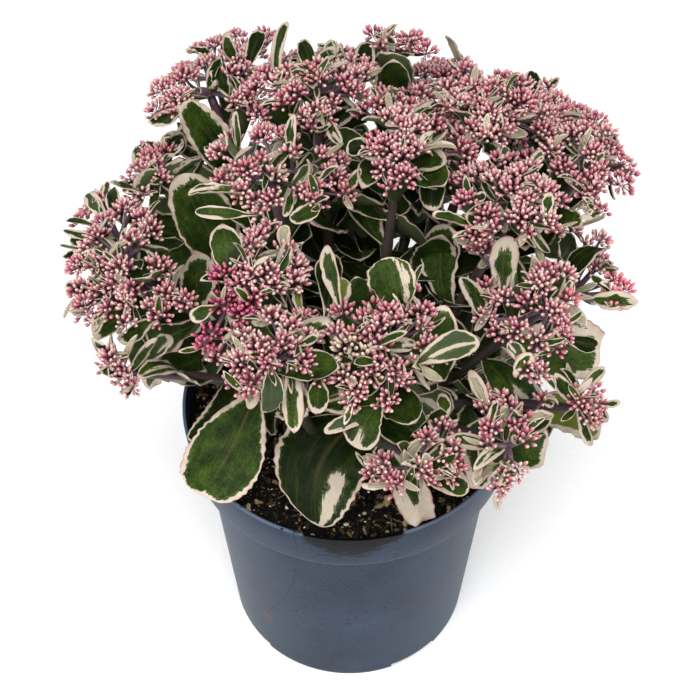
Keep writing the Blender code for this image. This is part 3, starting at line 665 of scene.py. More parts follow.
def across_path(path, hint):
    """Two unit vectors square to a path, copies x rows x 3, at each of its points: the first
    lies as near the hint as it can, and the second is the path's direction times the first."""
    forward = unit(np.gradient(path, axis=1))
    first = unit(hint[:, None, :] - forward * (forward * hint[:, None, :]).sum(-1, keepdims=True))
    return forward, first, np.cross(forward, first)


def tubes(path, radius, sides, hint):
    """Rings and ends of round tubes: a circle of each row's radius, square to the path. The
    ends stand out by a third of the radius, as a rounded cap."""
    forward, first, second = across_path(path, hint)
    angle = np.arange(sides) * math.tau / sides
    ring = between(first[:, :, None], second[:, :, None], angle)
    rings = path[:, :, None, :] + radius[:, :, None, None] * ring
    start = path[:, 0] - forward[:, 0] * radius[:, :1] / 3.0
    end = path[:, -1] + forward[:, -1] * radius[:, -1:] / 3.0
    return rings, np.stack((start, end), 1)


def vertex_values(rows, first, last, sides, own, kind):
    """A vector for each vertex, as the pair of arrays that Growth.add takes: how far along its
    solid it is, at each of the rows and at the first and the last end, the solid's own random
    number and its kind."""
    of_rings = np.broadcast_to(np.reshape(rows, (1, -1, 1)), (len(own), len(rows), sides))
    of_ends = np.broadcast_to(np.array((first, last)), (len(own), 2))
    pair = []
    for value in (of_rings, of_ends):
        same = [np.reshape(number, (-1,) + (1,) * (value.ndim - 1)) for number in (own, kind)]
        pair.append(np.stack(np.broadcast_arrays(value, *same), -1))
    return tuple(pair)


# Stems and flower heads.


def compost_surface(radius):
    """Height of the compost at a distance from the middle: a flat mound, a parabola."""
    share = np.minimum(radius / RIM_RADIUS, 1.0)
    return POT_HEIGHT - COMPOST_DEPTH + COMPOST_MOUND * (1.0 - share * share)


def head_axes(name):
    """A head's middle, the direction it faces, half way between its stem's lean and straight up,
    and the unit vectors across and along its reach."""
    azimuth, reach, height, _across, _along, lean = STEMS[name]
    angle = math.radians(azimuth)
    middle = np.array((reach * math.cos(angle), reach * math.sin(angle), height)) * MM
    rise = middle[2] - POT_HEIGHT + COMPOST_DEPTH
    outward = np.array((middle[0], middle[1], 0.0)) * (1.0 - STEM_FOOT_SHARE) * lean
    axis = unit(unit(outward + rise * UP) + UP)
    sideways = unit(np.array((-middle[1], middle[0], 0.0)))
    return middle, axis, sideways, np.cross(sideways, axis)


def stem_line(name, shares):
    """Points of a stem's centre line: above a short upright foot its distance from the middle
    grows from the foot's share to the whole, as a power of its height."""
    middle, axis, _sideways, _outward = head_axes(name)
    top = middle - axis * (0.5 * HEAD_HEIGHT + 3.0 * SEAT_GAP)
    shares = np.asarray(shares, float)
    leaning = np.maximum(0.0, shares - UPRIGHT_SHARE) / (1.0 - UPRIGHT_SHARE)
    out = STEM_FOOT_SHARE + (1.0 - STEM_FOOT_SHARE) * leaning ** STEMS[name][5]
    foot_distance = STEM_FOOT_SHARE * math.hypot(top[0], top[1])
    foot = compost_surface(foot_distance - STEM_FOOT_RADIUS) + SEAT_GAP
    height = foot + (top[2] - foot) * shares
    return np.stack((top[0] * out, top[1] * out, height), -1)


def stem_radius(shares):
    """Radius of a stem along its length: it thins evenly."""
    return STEM_FOOT_RADIUS + (STEM_TOP_RADIUS - STEM_FOOT_RADIUS) * np.asarray(shares, float)


def make_stem(name):
    """A stem's tube: its radius swells a little at each leaf node, as a narrow bell curve."""
    shares = np.linspace(0.0, 1.0, STEM_ROWS)
    swell = np.exp(-(((shares[:, None] - np.array(LEAF_NODES)) / NODE_REACH) ** 2)).sum(-1)
    radius = stem_radius(shares) * (1.0 + NODE_SWELL * swell)
    growth = Growth()
    rings, ends = tubes(stem_line(name, shares)[None], radius[None], STEM_SIDES, RIGHT[None])
    own = generator("stem", name).random(1)
    growth.add(rings, ends, skin=vertex_values(shares, 0.0, 1.0, STEM_SIDES, own, STEM))
    return growth


def dome_points(name, places):
    """Points of a head's domed top, and which way it faces there. Places are shares of the
    head's half widths across and along, and the dome drops with the square of their distance."""
    middle, axis, sideways, outward = head_axes(name)
    across, along = (value * MM for value in STEMS[name][3:5])
    squared = (places**2).sum(-1)
    rise = DOME_RISE - DOME_DROP * np.minimum(squared, DOME_EDGE)
    points = middle + places[..., :1] * across * sideways + places[..., 1:] * along * outward
    steep = 2.0 * DOME_DROP * np.sqrt(DOME_EDGE / np.maximum(squared, DOME_EDGE))[..., None]
    slope = steep * (places[..., :1] / across * sideways + places[..., 1:] / along * outward)
    return points + rise[..., None] * axis, unit(axis + slope)


def dome_places_seen(name, pixels):
    """Where on a head's dome pixels lie: the height is moved to the dome's until both agree."""
    middle, _axis, sideways, outward = head_axes(name)
    across, along = (value * MM for value in STEMS[name][3:5])
    height = np.full(len(pixels), middle[2])
    for _ in range(MATCH_ROUNDS):
        away = view_at_height(pixels, height) - middle
        places = np.stack((away @ sideways / across, away @ outward / along), -1)
        places /= np.maximum(1.0, np.linalg.norm(places, axis=-1, keepdims=True) / DOME_REACH)
        height = height + MATCH_STEP * (dome_points(name, places)[0][:, 2] - height)
    return places


def hidden_places(name):
    """Places of the clusters that the front view doesn't show: a sunflower spiral over a rear
    head, and a row under the far edge of the other back heads. Those that would show beyond
    the plant's outline are left out."""
    across, along = STEMS[name][3:5]
    count = 0
    if name.startswith("rear"):
        count = round(across * along / HIDDEN_CLUSTER_ROOM_MM2)
        index = np.arange(count)
        radius, angle = np.sqrt((index + 0.5) / count) * 1.05, index * GOLDEN_TURN
    elif STEMS[name][1] * math.sin(math.radians(STEMS[name][0])) > BACK_HEAD_DEPTH_MM:
        count = BACK_ROW_CLUSTERS
        radius, angle = BACK_ROW_RADIUS, np.radians(np.linspace(25.0, 155.0, count))
    if not count:
        return np.zeros((0, 2))
    places = np.stack((radius * np.cos(angle), radius * np.sin(angle)), -1)
    tops = dome_points(name, places)[0]
    reach = view_axes()[2] * HIDDEN_CLUSTER_REACH
    inside = [inside_outline(view_pixels(tops + side * reach)) for side in (-1.0, 1.0)]
    return places[inside[0] & inside[1]]


def clusters_of(name, rng):
    """A head's clusters: the fork each one's bud stalks fan out from, which way it faces, its
    radius, its kind and its place. The outer ones face partly outwards and partly up."""
    seen = CLUSTERS_SEEN.get(name, ())
    kinds = [entry[3] if len(entry) > 3 else PINK for entry in seen]
    places = np.zeros((0, 2))
    if seen:
        places = dome_places_seen(name, np.array([entry[:2] for entry in seen], float))
    hidden = hidden_places(name)
    kinds = np.array(kinds + [PINK] * len(hidden), float)
    places = np.concatenate((places, hidden))
    tops, facing = dome_points(name, places)
    size = np.array([entry[2] for entry in seen] + [HIDDEN_CLUSTER_PIXELS] * len(hidden), float)
    size = CLUSTER_SCALE * size * np.linalg.norm(tops - view_axes()[0], axis=-1) / VIEW_FOCAL_PIXELS
    facing = unit(0.7 * facing + 0.6 * UP + rng.normal(0.0, 0.14, facing.shape))
    forks = tops - facing * (0.9 * size + rng.uniform(-1.5, 2.5, len(tops)) * MM)[:, None]
    return forks, facing, size, kinds, places


def square_axes(facing):
    """Two unit vectors square to each direction and to each other."""
    first = unit(np.cross(np.where(np.abs(facing[:, 2:]) < 0.8, UP, RIGHT), facing))
    return first, np.cross(facing, first)


def bud_places(size, settings, rng):
    """Where the buds stand on the clusters' tops: each one's cluster, its distance from the
    middle as a share of the radius, and its turn. They lie as even as the seeds of a
    sunflower, and as many as the top has room for."""
    room = math.pi * size**2 / settings.bud_spacing**2
    counts = np.maximum(FEWEST_BUDS, np.round(room * rng.uniform(0.85, 1.15, len(size)))).astype(int)
    owner = np.repeat(np.arange(len(size)), counts)
    index = np.arange(len(owner)) - np.repeat(np.cumsum(counts) - counts, counts)
    out = np.sqrt((index + 0.5) / counts[owner]) * rng.uniform(0.9, 1.1, len(owner))
    turn = index * GOLDEN_TURN + rng.uniform(0.0, math.tau, len(size))[owner]
    return owner, out, turn + rng.normal(0.0, 0.15, len(owner))


def add_buds(growth, stalks, clusters, settings, rng):
    """Buds and their thin stalks. A bud is a pointed oval: circles whose radius follows
    BUD_WIDTHS along its length. A cluster's top is flat in the middle and drops as a parabola
    to its edge, and its buds lean outwards more the nearer they stand to it."""
    forks, facing, size, kinds, _places = clusters
    owner, out, turn = bud_places(size, settings, rng)
    count = len(owner)
    first, second = (axis[owner] for axis in square_axes(facing))
    aside = between(first, second, turn)
    length = settings.bud_length * rng.uniform(0.82, 1.15, count)
    top = size[owner] * (1.0 - CLUSTER_DROP * out**2) + rng.normal(0.0, 0.45, count) * MM
    base = forks[owner] + facing[owner] * (top - 0.6 * length)[:, None]
    base = base + aside * (0.90 * out * size[owner])[:, None]
    axis = unit(facing[owner] + aside * (1.05 * out)[:, None] + rng.normal(0.0, 0.15, (count, 3)))
    width = 0.5 * settings.bud_width * rng.uniform(0.86, 1.12, count)
    first, second = square_axes(axis)
    angle = np.arange(BUD_SIDES) * math.tau / BUD_SIDES
    ring = between(first[:, None], second[:, None], angle)
    along = base[:, None, :] + axis[:, None, :] * (BUD_ROWS[:, None] * length[:, None, None])
    rings = along[:, :, None] + BUD_WIDTHS[:, None, None] * width[:, None, None, None] * ring[:, None]
    ends = np.stack((base, base + axis * length[:, None]), 1)
    tone = 0.5 * rng.random(count) + 0.5 * rng.random(len(forks))[owner]
    growth.add(rings, ends, bud=vertex_values(BUD_ROWS, 0.0, 1.0, BUD_SIDES, tone, kinds[owner]))
    ring = ring[:, None, ::2, :][:, :, :3] * PEDICEL_RADIUS
    rings = (base + axis * 0.1 * length[:, None])[:, None, None, :] + ring
    ends = np.stack((forks[owner], base + axis * 0.3 * length[:, None]), 1)
    stalks.add(rings, ends, skin=vertex_values((1.0,), 0.0, 1.0, 3, tone, PEDICEL))


def add_tubes(growth, path, radius, sides, own, kind, value="skin"):
    """Tubes of one kind, whose radius is one number or one for each row, with a value for
    their skin: how far along, the tube's own random number and the kind."""
    hint = square_axes(unit(path[:, -1] - path[:, 0]))[0]
    rings, ends = tubes(path, np.broadcast_to(radius, path.shape[:2]), sides, hint)
    shares = np.linspace(0.0, 1.0, path.shape[1])
    growth.add(rings, ends, **{value: vertex_values(shares, 0.0, 1.0, sides, own, kind)})


def curve_between(start, bend, end, rows):
    """Points of a curve that leaves start towards bend and reaches end from it: a parabola."""
    share = np.linspace(0.0, 1.0, rows)[None, :, None]
    start, bend, end = (place[:, None, :] for place in (start, bend, end))
    return start * (1.0 - share) ** 2 + 2.0 * bend * share * (1.0 - share) + end * share**2


def branches_of(name, clusters):
    """A head's main branches: clusters in the same sixth of the head, or near its middle, share
    one. Returns each cluster's branch and the fork where each branch divides."""
    forks, _facing, _size, _kinds, places = clusters
    middle, axis, _sideways, _outward = head_axes(name)
    turn = np.arctan2(places[:, 1], places[:, 0]) / math.tau + 0.5
    near = np.hypot(places[:, 0], places[:, 1]) < MIDDLE_BRANCH_REACH
    sector = np.where(near, 0, 1 + np.floor(turn * BRANCH_SECTORS))
    kept, branch = np.unique(sector, return_inverse=True)
    top = middle - axis * (0.5 * HEAD_HEIGHT - 1.0 * MM)
    spread = np.stack([forks[branch == index].mean(0) for index in range(len(kept))])
    return branch, top + 0.5 * (spread - top) - axis * 1.5 * MM, top, axis


def add_branches(stalks, name, clusters, rng):
    """A head's branches from the stem's top to their forks, and from there to the clusters."""
    forks, facing, _size, _kinds, _places = clusters
    branch, divides, top, axis = branches_of(name, clusters)
    tops = np.broadcast_to(top - axis * 1.5 * MM, divides.shape)
    path = curve_between(tops, tops + axis * 5.0 * MM, divides, 7)
    radius = np.linspace(*BRANCH_RADII_MM, path.shape[1]) * MM
    add_tubes(stalks, path, radius, 8, rng.random(len(divides)), BRANCH)
    starts = divides[branch] - unit(divides - top)[branch] * 0.8 * MM
    bend = 0.5 * (divides[branch] + forks) - facing * 3.0 * MM
    path = curve_between(starts, bend, forks + facing * 0.4 * MM, 6)
    radius = np.linspace(*TWIG_RADII_MM, path.shape[1]) * MM
    add_tubes(stalks, path, radius, 5, rng.random(len(forks)), BRANCH)
    return divides, top, axis


# Leaves and bracts.


class Blades:
    """The sizes of a batch of leaves or bracts, one number or vector for each of them."""

    def __init__(self, root, forward, face, length, width, **shape):
        count = len(root)
        self.root, self.forward = root, unit(forward)
        self.face = unit(face - self.forward * (face * self.forward).sum(-1, keepdims=True))
        usual = {
            "keel": 0.25, "cup": 0.4, "arch": 0.0, "curl": 0.0, "sweep": 0.0, "twist": 0.0,
            "ruffle": 0.04, "teeth": 0.03, "widest": 0.62, "blunt": 0.5, "petiole": 0.0,
            "thickness": 1.5 * MM, "margin": 3.0 * MM, "kind": GREEN, "seed": 0.5,
            "streak": 0.0, "streak_start": NO_STREAK,
        }
        for key, value in {**usual, "length": length, "width": width, **shape}.items():
            setattr(self, key, np.broadcast_to(np.asarray(value, float), (count,)).copy())

    def only(self, chosen):
        """A batch of the chosen blades."""
        part = copy.copy(self)
        for key, value in vars(self).items():
            setattr(part, key, value[chosen])
        return part

    def bend(self, shares):
        """How far the middle lies from its chord, as a share of the length, and its slope: a
        parabola for the arch and a whole sine wave for the curl."""
        arch, curl = self.arch[:, None], self.curl[:, None]
        lift = arch * 4.0 * shares * (1.0 - shares) + curl * np.sin(math.tau * shares)
        slope = arch * 4.0 * (1.0 - 2.0 * shares) + curl * math.tau * np.cos(math.tau * shares)
        return lift, slope

    def middle_line(self, shares):
        """Points along each blade's middle: the chord, bent towards the face, and swept to one
        side by a parabola."""
        lift = (self.bend(shares)[0] * self.length[:, None])[..., None] * self.face[:, None, :]
        sweep = self.sweep[:, None] * 4.0 * shares * (1.0 - shares) * self.length[:, None]
        across = np.cross(self.face, self.forward)
        along = self.forward[:, None, :] * (self.length[:, None, None] * shares[:, None])
        return self.root[:, None, :] + along + lift + sweep[..., None] * across[:, None, :]

    def half_width(self, shares):
        """Half width along the blade: a power of the distance from the root times a power of
        the distance from the tip, with its peak where the blade is widest, and for a stalked
        leaf never under the stalk's half width near the root."""
        power = self.blunt * self.widest / (1.0 - self.widest)
        peak = self.widest**power * (1.0 - self.widest) ** self.blunt
        s = shares[None, :]
        profile = s ** power[:, None] * (1.0 - s) ** self.blunt[:, None] / peak[:, None]
        stalk = self.petiole[:, None] * (1.0 - s) ** 0.5 * np.minimum(1.0, s * 30.0 + 0.6)
        return 0.5 * self.width[:, None] * (profile**4 + stalk**4) ** 0.25


def blade_insets(per, half, wave, q, s):
    """How far each place lies from the blade's edge, in widths of its cream margin, which swings
    by half with the edge's slow wave and reaches no further than CREAM_REACH of the half width.
    A streak of cream runs from its start to the tip, and its middle counts as STREAK_MIDDLE."""
    margin = per["margin"] * (1.0 + 0.5 * np.sin(0.37 * wave + 2.1 * np.sign(q)))
    inset = np.maximum((1.0 - np.abs(q)) * half / margin, (1.0 - np.abs(q)) / CREAM_REACH)
    inset = np.minimum(inset, (1.0 - s) * per["length"] / (1.15 * margin))
    away = np.abs(q - per["streak"]) / STREAK_HALF_WIDTH
    away = away + np.maximum(0.0, per["streak_start"] - s) * 12.0
    return np.minimum(inset, STREAK_MIDDLE + (1.0 - STREAK_MIDDLE) * away)


def add_blades(growth, blades, rows, sides):
    """Fleshy blades. Round each ring the place across goes as a cosine and the thickness as a
    sine. Across, each half of the blade leaves the rib at its keel angle and turns by its cup
    angle as an arc; along, the blade follows its middle line. The edge waves by two sines that
    grow towards it, and a groove marks the rib."""
    count = len(blades.root)
    if not count:
        return
    shares = 0.5 - 0.5 * np.cos(np.linspace(0.06, 0.97, rows) * math.pi)
    turn = np.arange(sides) * math.tau / sides
    q, over = np.cos(turn)[None, None, :], np.sin(turn)[None, None, :]
    s = shares[None, :, None]
    per = {key: value[:, None, None] for key, value in vars(blades).items() if value.ndim == 1}
    wave = math.tau * (2.5 + 3.0 * per["seed"]) * s + 40.0 * per["seed"] + 1.7 * np.sign(q)
    half = blades.half_width(shares)[:, :, None]
    half = half * (1.0 + per["teeth"] * np.sin(2.9 * wave) * np.minimum(1.0, 4.0 * s))
    cup = np.where(np.abs(per["cup"]) < 0.02, 0.02, per["cup"])
    angle = per["keel"] + cup * np.abs(q)
    x = np.sign(q) * half * (np.sin(angle) - np.sin(per["keel"])) / cup
    lift = half * (np.cos(per["keel"]) - np.cos(angle)) / cup
    ruffle = 0.65 * np.sin(wave) + 0.45 * np.sin(2.3 * wave + 1.0)
    lift = lift + per["ruffle"] * 2.0 * half * ruffle * np.abs(q) ** 3
    lift = lift - RIB_GROOVE * np.exp(-((q * half / RIB_WIDTH) ** 2)) * (1.0 - s)
    thick = 0.5 * per["thickness"] * (1.35 - 0.55 * s) * over * (0.55 + 0.45 * np.abs(over))
    slope = blades.bend(shares)[1][:, :, None]
    steep = np.sqrt(1.0 + slope**2)
    swing = per["twist"] * s
    side = x * np.cos(swing) - (lift + thick) * np.sin(swing)
    tall = x * np.sin(swing) + (lift + thick) * np.cos(swing)
    across = np.cross(blades.face, blades.forward)[:, None, None, :]
    forward, face = blades.forward[:, None, None, :], blades.face[:, None, None, :]
    rings = blades.middle_line(shares)[:, :, None, :] + side[..., None] * across
    rings = rings + (tall / steep)[..., None] * face - (tall * slope / steep)[..., None] * forward
    inset = blade_insets(per, half, wave, q, s)
    fields = {
        "blade": (
            (x / MM, s * per["length"] / MM, 100.0 * per["seed"]),
            (0.0, blades.length / MM, 100.0 * blades.seed),
        ),
        "leaf": ((inset, q, s), (0.2, 0.0, 1.0)),
        "leaf_side": ((over, per["kind"], per["seed"]), (0.0, blades.kind, blades.seed)),
    }
    values = {}
    for key, (of_rings, of_ends) in fields.items():
        of_rings = [np.broadcast_to(value, rings.shape[:3]) for value in of_rings]
        of_ends = [np.broadcast_to(np.reshape(value, (-1, 1)), (count, 2)) for value in of_ends]
        values[key] = (np.stack(of_rings, -1), np.stack(of_ends, -1))
    growth.add(rings, blades.middle_line(np.array((0.012, 0.995))), **values)


def side_of_stem(name, share, towards):
    """The point where a leaf joins its stem: on the stem's side that its tip lies on."""
    spot = stem_line(name, np.array((share,)))[0]
    return spot + unit(towards - spot) * 0.6 * float(stem_radius(share))


def make_large_leaf(name):
    """One of the largest leaves, from its stem to the tip that the CAD node has."""
    stem, share, tip, width, arch, face, margin = LARGE_LEAVES[name]
    tip = np.array(tip) * MM
    root = side_of_stem(stem, share, tip)
    shape = {
        "keel": 0.18, "cup": 0.45, "ruffle": 0.05, "petiole": 0.16, "blunt": 0.42,
        "thickness": 1.8 * MM, **LARGE_LEAF_SHAPES.get(name, {}),
    }
    blades = Blades(
        root[None], (tip - root)[None], np.array((face,), float), np.linalg.norm(tip - root),
        width * MM, arch=arch, margin=margin * MM, seed=generator("leaf", name).random(), **shape,
    )
    growth = Growth()
    add_blades(growth, blades, *LARGE_LEAF_GRID)
    return growth


def leaves_seen_of(name, rng):
    """A stem's upper leaves that show from the front. Each grows from the point of its stem or
    head that shows nearest its base to the point at its tip's height that shows at its tip.
    Where that makes it longer, its widest part stays in sight. It is rolled about its chord,
    and made as much wider as the roll hides."""
    entries = np.array(LEAVES_SEEN[name], float)
    bases, seen_tips = entries[:, :2], entries[:, 2:4]
    width, above, margin, kind = entries[:, 4:].T * np.array((MM, MM, MM, 1.0))[:, None]
    clusters = clusters_of(name, generator("head", name))
    branch, divides, _top, _axis = branches_of(name, clusters)
    forks = clusters[0]
    stem = stem_line(name, np.linspace(0.3, 0.98, 60))
    roots = np.concatenate((stem, divides, forks, 0.5 * (forks + divides[branch])))
    away = np.linalg.norm(view_pixels(roots)[None] - bases[:, None], axis=-1)
    root = roots[away.argmin(1)]
    tips = view_at_height(seen_tips, root[:, 2] + above)
    shown = np.linalg.norm(seen_tips - bases, axis=-1)
    whole = np.linalg.norm(seen_tips - view_pixels(root), axis=-1)
    count = len(root)
    face = 0.25 * UP - view_axes()[1] + rng.normal(0.0, 0.12, (count, 3))
    roll = np.clip(rng.normal(0.0, 0.5, count), -0.75, 0.75)
    face = between(unit(face), unit(np.cross(face, tips - root)), roll)
    return Blades(
        root, tips - root, face, np.linalg.norm(tips - root, axis=-1), width / np.cos(roll),
        **leaf_bends(rng, count), margin=margin * rng.uniform(0.9, 1.4, count), kind=kind,
        seed=rng.random(count), petiole=0.18, blunt=rng.uniform(0.42, 0.62, count),
        widest=np.clip(1.0 - 0.40 * shown / np.maximum(whole, 1.0), 0.48, 0.80),
    )


def leaf_bends(rng, count):
    """How a batch of leaves folds, bends and waves, and where some have a streak of cream."""
    streaked = rng.random(count) < 0.3
    return {
        "keel": rng.uniform(0.05, 0.55, count), "cup": rng.uniform(-0.3, 0.9, count),
        "arch": rng.uniform(-0.06, 0.14, count), "curl": rng.normal(0.0, 0.028, count),
        "sweep": rng.normal(0.0, 0.05, count), "twist": rng.normal(0.0, 0.25, count),
        "ruffle": rng.uniform(0.03, 0.10, count), "streak": rng.uniform(-0.6, 0.6, count),
        "streak_start": np.where(streaked, rng.uniform(0.2, 0.8, count), NO_STREAK),
    }


def clears_pot(points):
    """Whether points lie clear of the pot's collar, inside it or above it."""
    distance = np.hypot(points[..., 0], points[..., 1])
    inside = distance < RIM_RADIUS - WALL - 5.0 * MM
    inside &= points[..., 2] > compost_surface(distance) + 2.0 * MM
    return inside | (points[..., 2] > POT_HEIGHT + 4.0 * MM)


def under_heads(points):
    """Whether points lie under every flower head's dome, or beside them all."""
    clear = np.ones(points.shape[:-1], bool)
    for name, (_azimuth, _reach, _height, across, along, _lean) in STEMS.items():
        middle, axis, sideways, outward = head_axes(name)
        away = points - middle
        places = np.stack((away @ sideways / (across * MM), away @ outward / (along * MM)), -1)
        within = (places**2).sum(-1)
        clear &= (within > 1.0) | (away @ axis < DOME_RISE - DOME_DROP * within - HEAD_CLEARANCE)
    return clear


def shows_large_leaves(points):
    """Whether points leave the largest leaves in sight: none lies nearer the camera than such
    a leaf and, in the picture, within half its width of the line from its root to its tip."""
    place = view_axes()[0]
    pixels, depth = view_pixels(points), np.linalg.norm(points - place, axis=-1)
    clear = np.ones(points.shape[:-1], bool)
    for stem, share, tip, width, *_rest in LARGE_LEAVES.values():
        tip = np.array(tip) * MM
        root = side_of_stem(stem, share, tip)
        start, end = view_pixels(np.stack((root, tip)))
        along = (pixels - start) @ (end - start) / ((end - start) ** 2).sum()
        along = np.clip(along, 0.25, 1.0)[..., None]
        away = np.linalg.norm(pixels - start - along * (end - start), axis=-1)
        nearer = depth < np.linalg.norm(root + along * (tip - root) - place, axis=-1)
        clear &= ~(nearer & (away < 0.5 * width * MM * VIEW_FOCAL_PIXELS / VIEW_DISTANCE))
    return clear


def stem_leaves(name, rng):
    """A stem's ordinary leaves: pairs at its nodes, longest in the middle and steeper towards
    the top. Those that would show beyond the plant's outline, hide a large leaf, stand in the
    buds or run into the pot are left out."""
    share = np.repeat(LEAF_NODES, 2) + rng.normal(0.0, 0.008, 2 * len(LEAF_NODES))
    count = len(share)
    node, index = np.divmod(np.arange(count), 2)
    turn = index * math.pi + node * PAIR_TURN + rng.normal(0.0, 0.2, count)
    line = stem_line(name, np.stack((share - 0.01, share + 0.01), -1))
    tangent = unit(line[:, 1] - line[:, 0])
    first, second = square_axes(tangent)
    radial = between(first, second, turn)
    lift = np.radians(np.interp(share, LEAN_SHARES, LEAF_LEANS))
    lift = lift + rng.normal(0.0, 0.16, count)
    length = np.interp(share, LENGTH_SHARES, LEAF_LENGTHS_MM) * MM
    length = length * rng.uniform(0.8, 1.12, count)
    face = between(-radial, tangent, lift)
    blades = Blades(
        line.mean(1) + radial * 0.6 * stem_radius(share)[:, None], between(tangent, radial, lift),
        face + rng.normal(0.0, 0.2, face.shape), length, length * rng.uniform(0.46, 0.62, count),
        **leaf_bends(rng, count), seed=rng.random(count),
        # Leaves low on the stem get narrow margins and the dark kind: painted shade under the heads.
        margin=rng.uniform(0.5, np.where(share < LOWER_LEAVES, 1.2, 2.2)) * MM,
        kind=np.where(share < LOWER_LEAVES, DARK_AND_SHADED, GREEN), petiole=0.16,
    )
    checked = blades.middle_line(np.array((0.55, 0.8, 1.0)))
    keep = inside_outline(view_pixels(checked)) & clears_pot(checked)
    keep &= under_heads(checked) & shows_large_leaves(checked)
    return blades.only(keep.all(1))


def add_bracts(growth, clusters, divides, top, axis, settings, rng):
    """Bracts: up to two under each cluster, larger ones at the forks, and four leaves in a
    collar where the stem divides. They stand out sideways and a little up."""
    forks, facing, _size, _kinds, _places = clusters
    owner = np.repeat(np.arange(len(forks)), rng.choice((0, 1, 1, 2), len(forks)))
    branch = unit(divides - top)
    root = np.concatenate((forks[owner], np.repeat(divides, 2, 0), np.repeat(top[None], 4, 0)))
    heading = np.concatenate((facing[owner], np.repeat(branch, 2, 0), np.repeat(axis[None], 4, 0)))
    rank = np.repeat((0, 1, 2), (len(owner), 2 * len(divides), 4))
    count = len(root)
    turn = rng.uniform(0.0, math.tau, count)
    place = np.arange(count) - len(owner)
    turn = np.where(rank > 0, place * (math.tau / 4.0 + 0.25) + turn * 0.1, turn)
    first, second = square_axes(heading)
    aside = between(first, second, turn)
    lift = rng.uniform(math.radians(40.0), math.radians(80.0), count)
    forward, face = between(heading, aside, lift), between(-aside, heading, lift)
    shortest, longest = np.array(BRACT_LENGTHS)[rank].T * MM * settings.bract_size
    length = rng.uniform(shortest, longest)
    margin = np.array(BRACT_MARGINS)[rank] * rng.uniform(0.6, 1.6, count) * MM
    shape = leaf_bends(rng, count)
    shape.update(
        keel=rng.uniform(0.2, 0.8, count), cup=rng.uniform(0.0, 1.1, count),
        arch=rng.uniform(-0.16, 0.14, count), ruffle=0.04, teeth=0.0,
    )
    blades = Blades(
        root, forward, face, length, length * rng.uniform(0.28, 0.46, count), **shape,
        margin=margin, seed=rng.random(count), thickness=1.0 * MM, widest=0.55, blunt=0.62,
        kind=np.where(rng.random(count) < 0.25, PALE, WIDE_MARGIN),
    )
    tips = blades.middle_line(np.array((1.0,)))
    blades = blades.only((inside_outline(view_pixels(tips)) & clears_pot(tips)).all(1))
    large = blades.length > LARGE_BRACT
    add_blades(growth, blades.only(large), *LARGE_BRACT_GRID)
    add_blades(growth, blades.only(~large), *SMALL_BRACT_GRID)


# Compost and pot.


def turned(profile, sides):
    """Rings and ends of a turned solid: each point of the profile, which starts and ends on
    the axis, is carried once round it."""
    profile = np.asarray(profile, float)
    angle = np.arange(sides) * math.tau / sides
    inner = profile[1:-1]
    rings = np.stack((
        inner[:, :1] * np.cos(angle),
        inner[:, :1] * np.sin(angle),
        np.broadcast_to(inner[:, 1:], (len(inner), sides)),
    ), -1)
    ends = np.array(((0.0, 0.0, profile[0][1]), (0.0, 0.0, profile[-1][1])))
    return rings[None], ends[None]


def rounded(corners, steps=4):
    """A profile whose corners, each a radius, a height and the length it gives up on both
    sides, become parabolas."""
    corners = [np.array(corner, float) for corner in corners]
    line = [corners[0][:2]]
    share = np.linspace(0.0, 1.0, steps + 1)[:, None]
    for before, corner, after in zip(corners, corners[1:], corners[2:]):
        place, cut = corner[:2], corner[2]
        if not cut:
            line.append(place)
            continue
        start = place + unit(before[:2] - place) * cut
        end = place + unit(after[:2] - place) * cut
        line.extend(start * (1.0 - share) ** 2 + 2.0 * place * share * (1.0 - share) + end * share**2)
    line.append(corners[-1][:2])
    return line


def pot_profile():
    """The pot's section, from under the middle of its base out and up to its lip, and down
    inside to the middle of its floor."""
    foot = BODY_FOOT_RADIUS - BASE_CORNER
    ring = foot - FOOT_RING_WIDTH
    collar_foot = POT_HEIGHT - COLLAR_HEIGHT
    floor = WALL + BASE_RECESS
    slope = (BODY_TOP_RADIUS - BODY_FOOT_RADIUS) / collar_foot
    above_notch = DRAIN_NOTCH_HEIGHT + 1.0 * MM
    return rounded((
        (0.0, 0.0, 0.0),
        (CENTRE_FOOT_RADIUS, 0.0, 0.4 * MM),
        (CENTRE_FOOT_RADIUS + BASE_RECESS, BASE_RECESS, 0.4 * MM),
        (ring - BASE_RECESS, BASE_RECESS, 0.4 * MM),
        (ring, 0.0, 0.4 * MM),
        (BODY_FOOT_RADIUS, 0.0, 0.95 * BASE_CORNER),
        (BODY_FOOT_RADIUS + slope * above_notch, above_notch, 0.0),
        (BODY_TOP_RADIUS - slope * 4.0 * MM, collar_foot - 4.0 * MM, 0.0),
        (BODY_TOP_RADIUS, collar_foot, 0.4 * EDGE_ROUND),
        (COLLAR_FOOT_RADIUS, collar_foot, EDGE_ROUND),
        (RIM_RADIUS, POT_HEIGHT, 0.8 * EDGE_ROUND),
        (RIM_RADIUS - WALL, POT_HEIGHT, 0.8 * EDGE_ROUND),
        (COLLAR_FOOT_RADIUS - WALL, collar_foot + WALL, COLLAR_FILLET),
        (BODY_TOP_RADIUS - WALL, collar_foot + 0.5 * WALL, 0.6 * MM),
        (BODY_FOOT_RADIUS - WALL + slope * above_notch, above_notch, 0.0),
        (BODY_FOOT_RADIUS - WALL + slope * floor, WALL, 1.8 * MM),
        (ring, WALL, 0.4 * MM),
        (ring - 2.0 * WALL, floor, 0.4 * MM),
        (CENTRE_FOOT_RADIUS + WALL, floor, 0.4 * MM),
        (CENTRE_FOOT_RADIUS - WALL, WALL, 0.4 * MM),
        (0.0, WALL, 0.0),
    ))


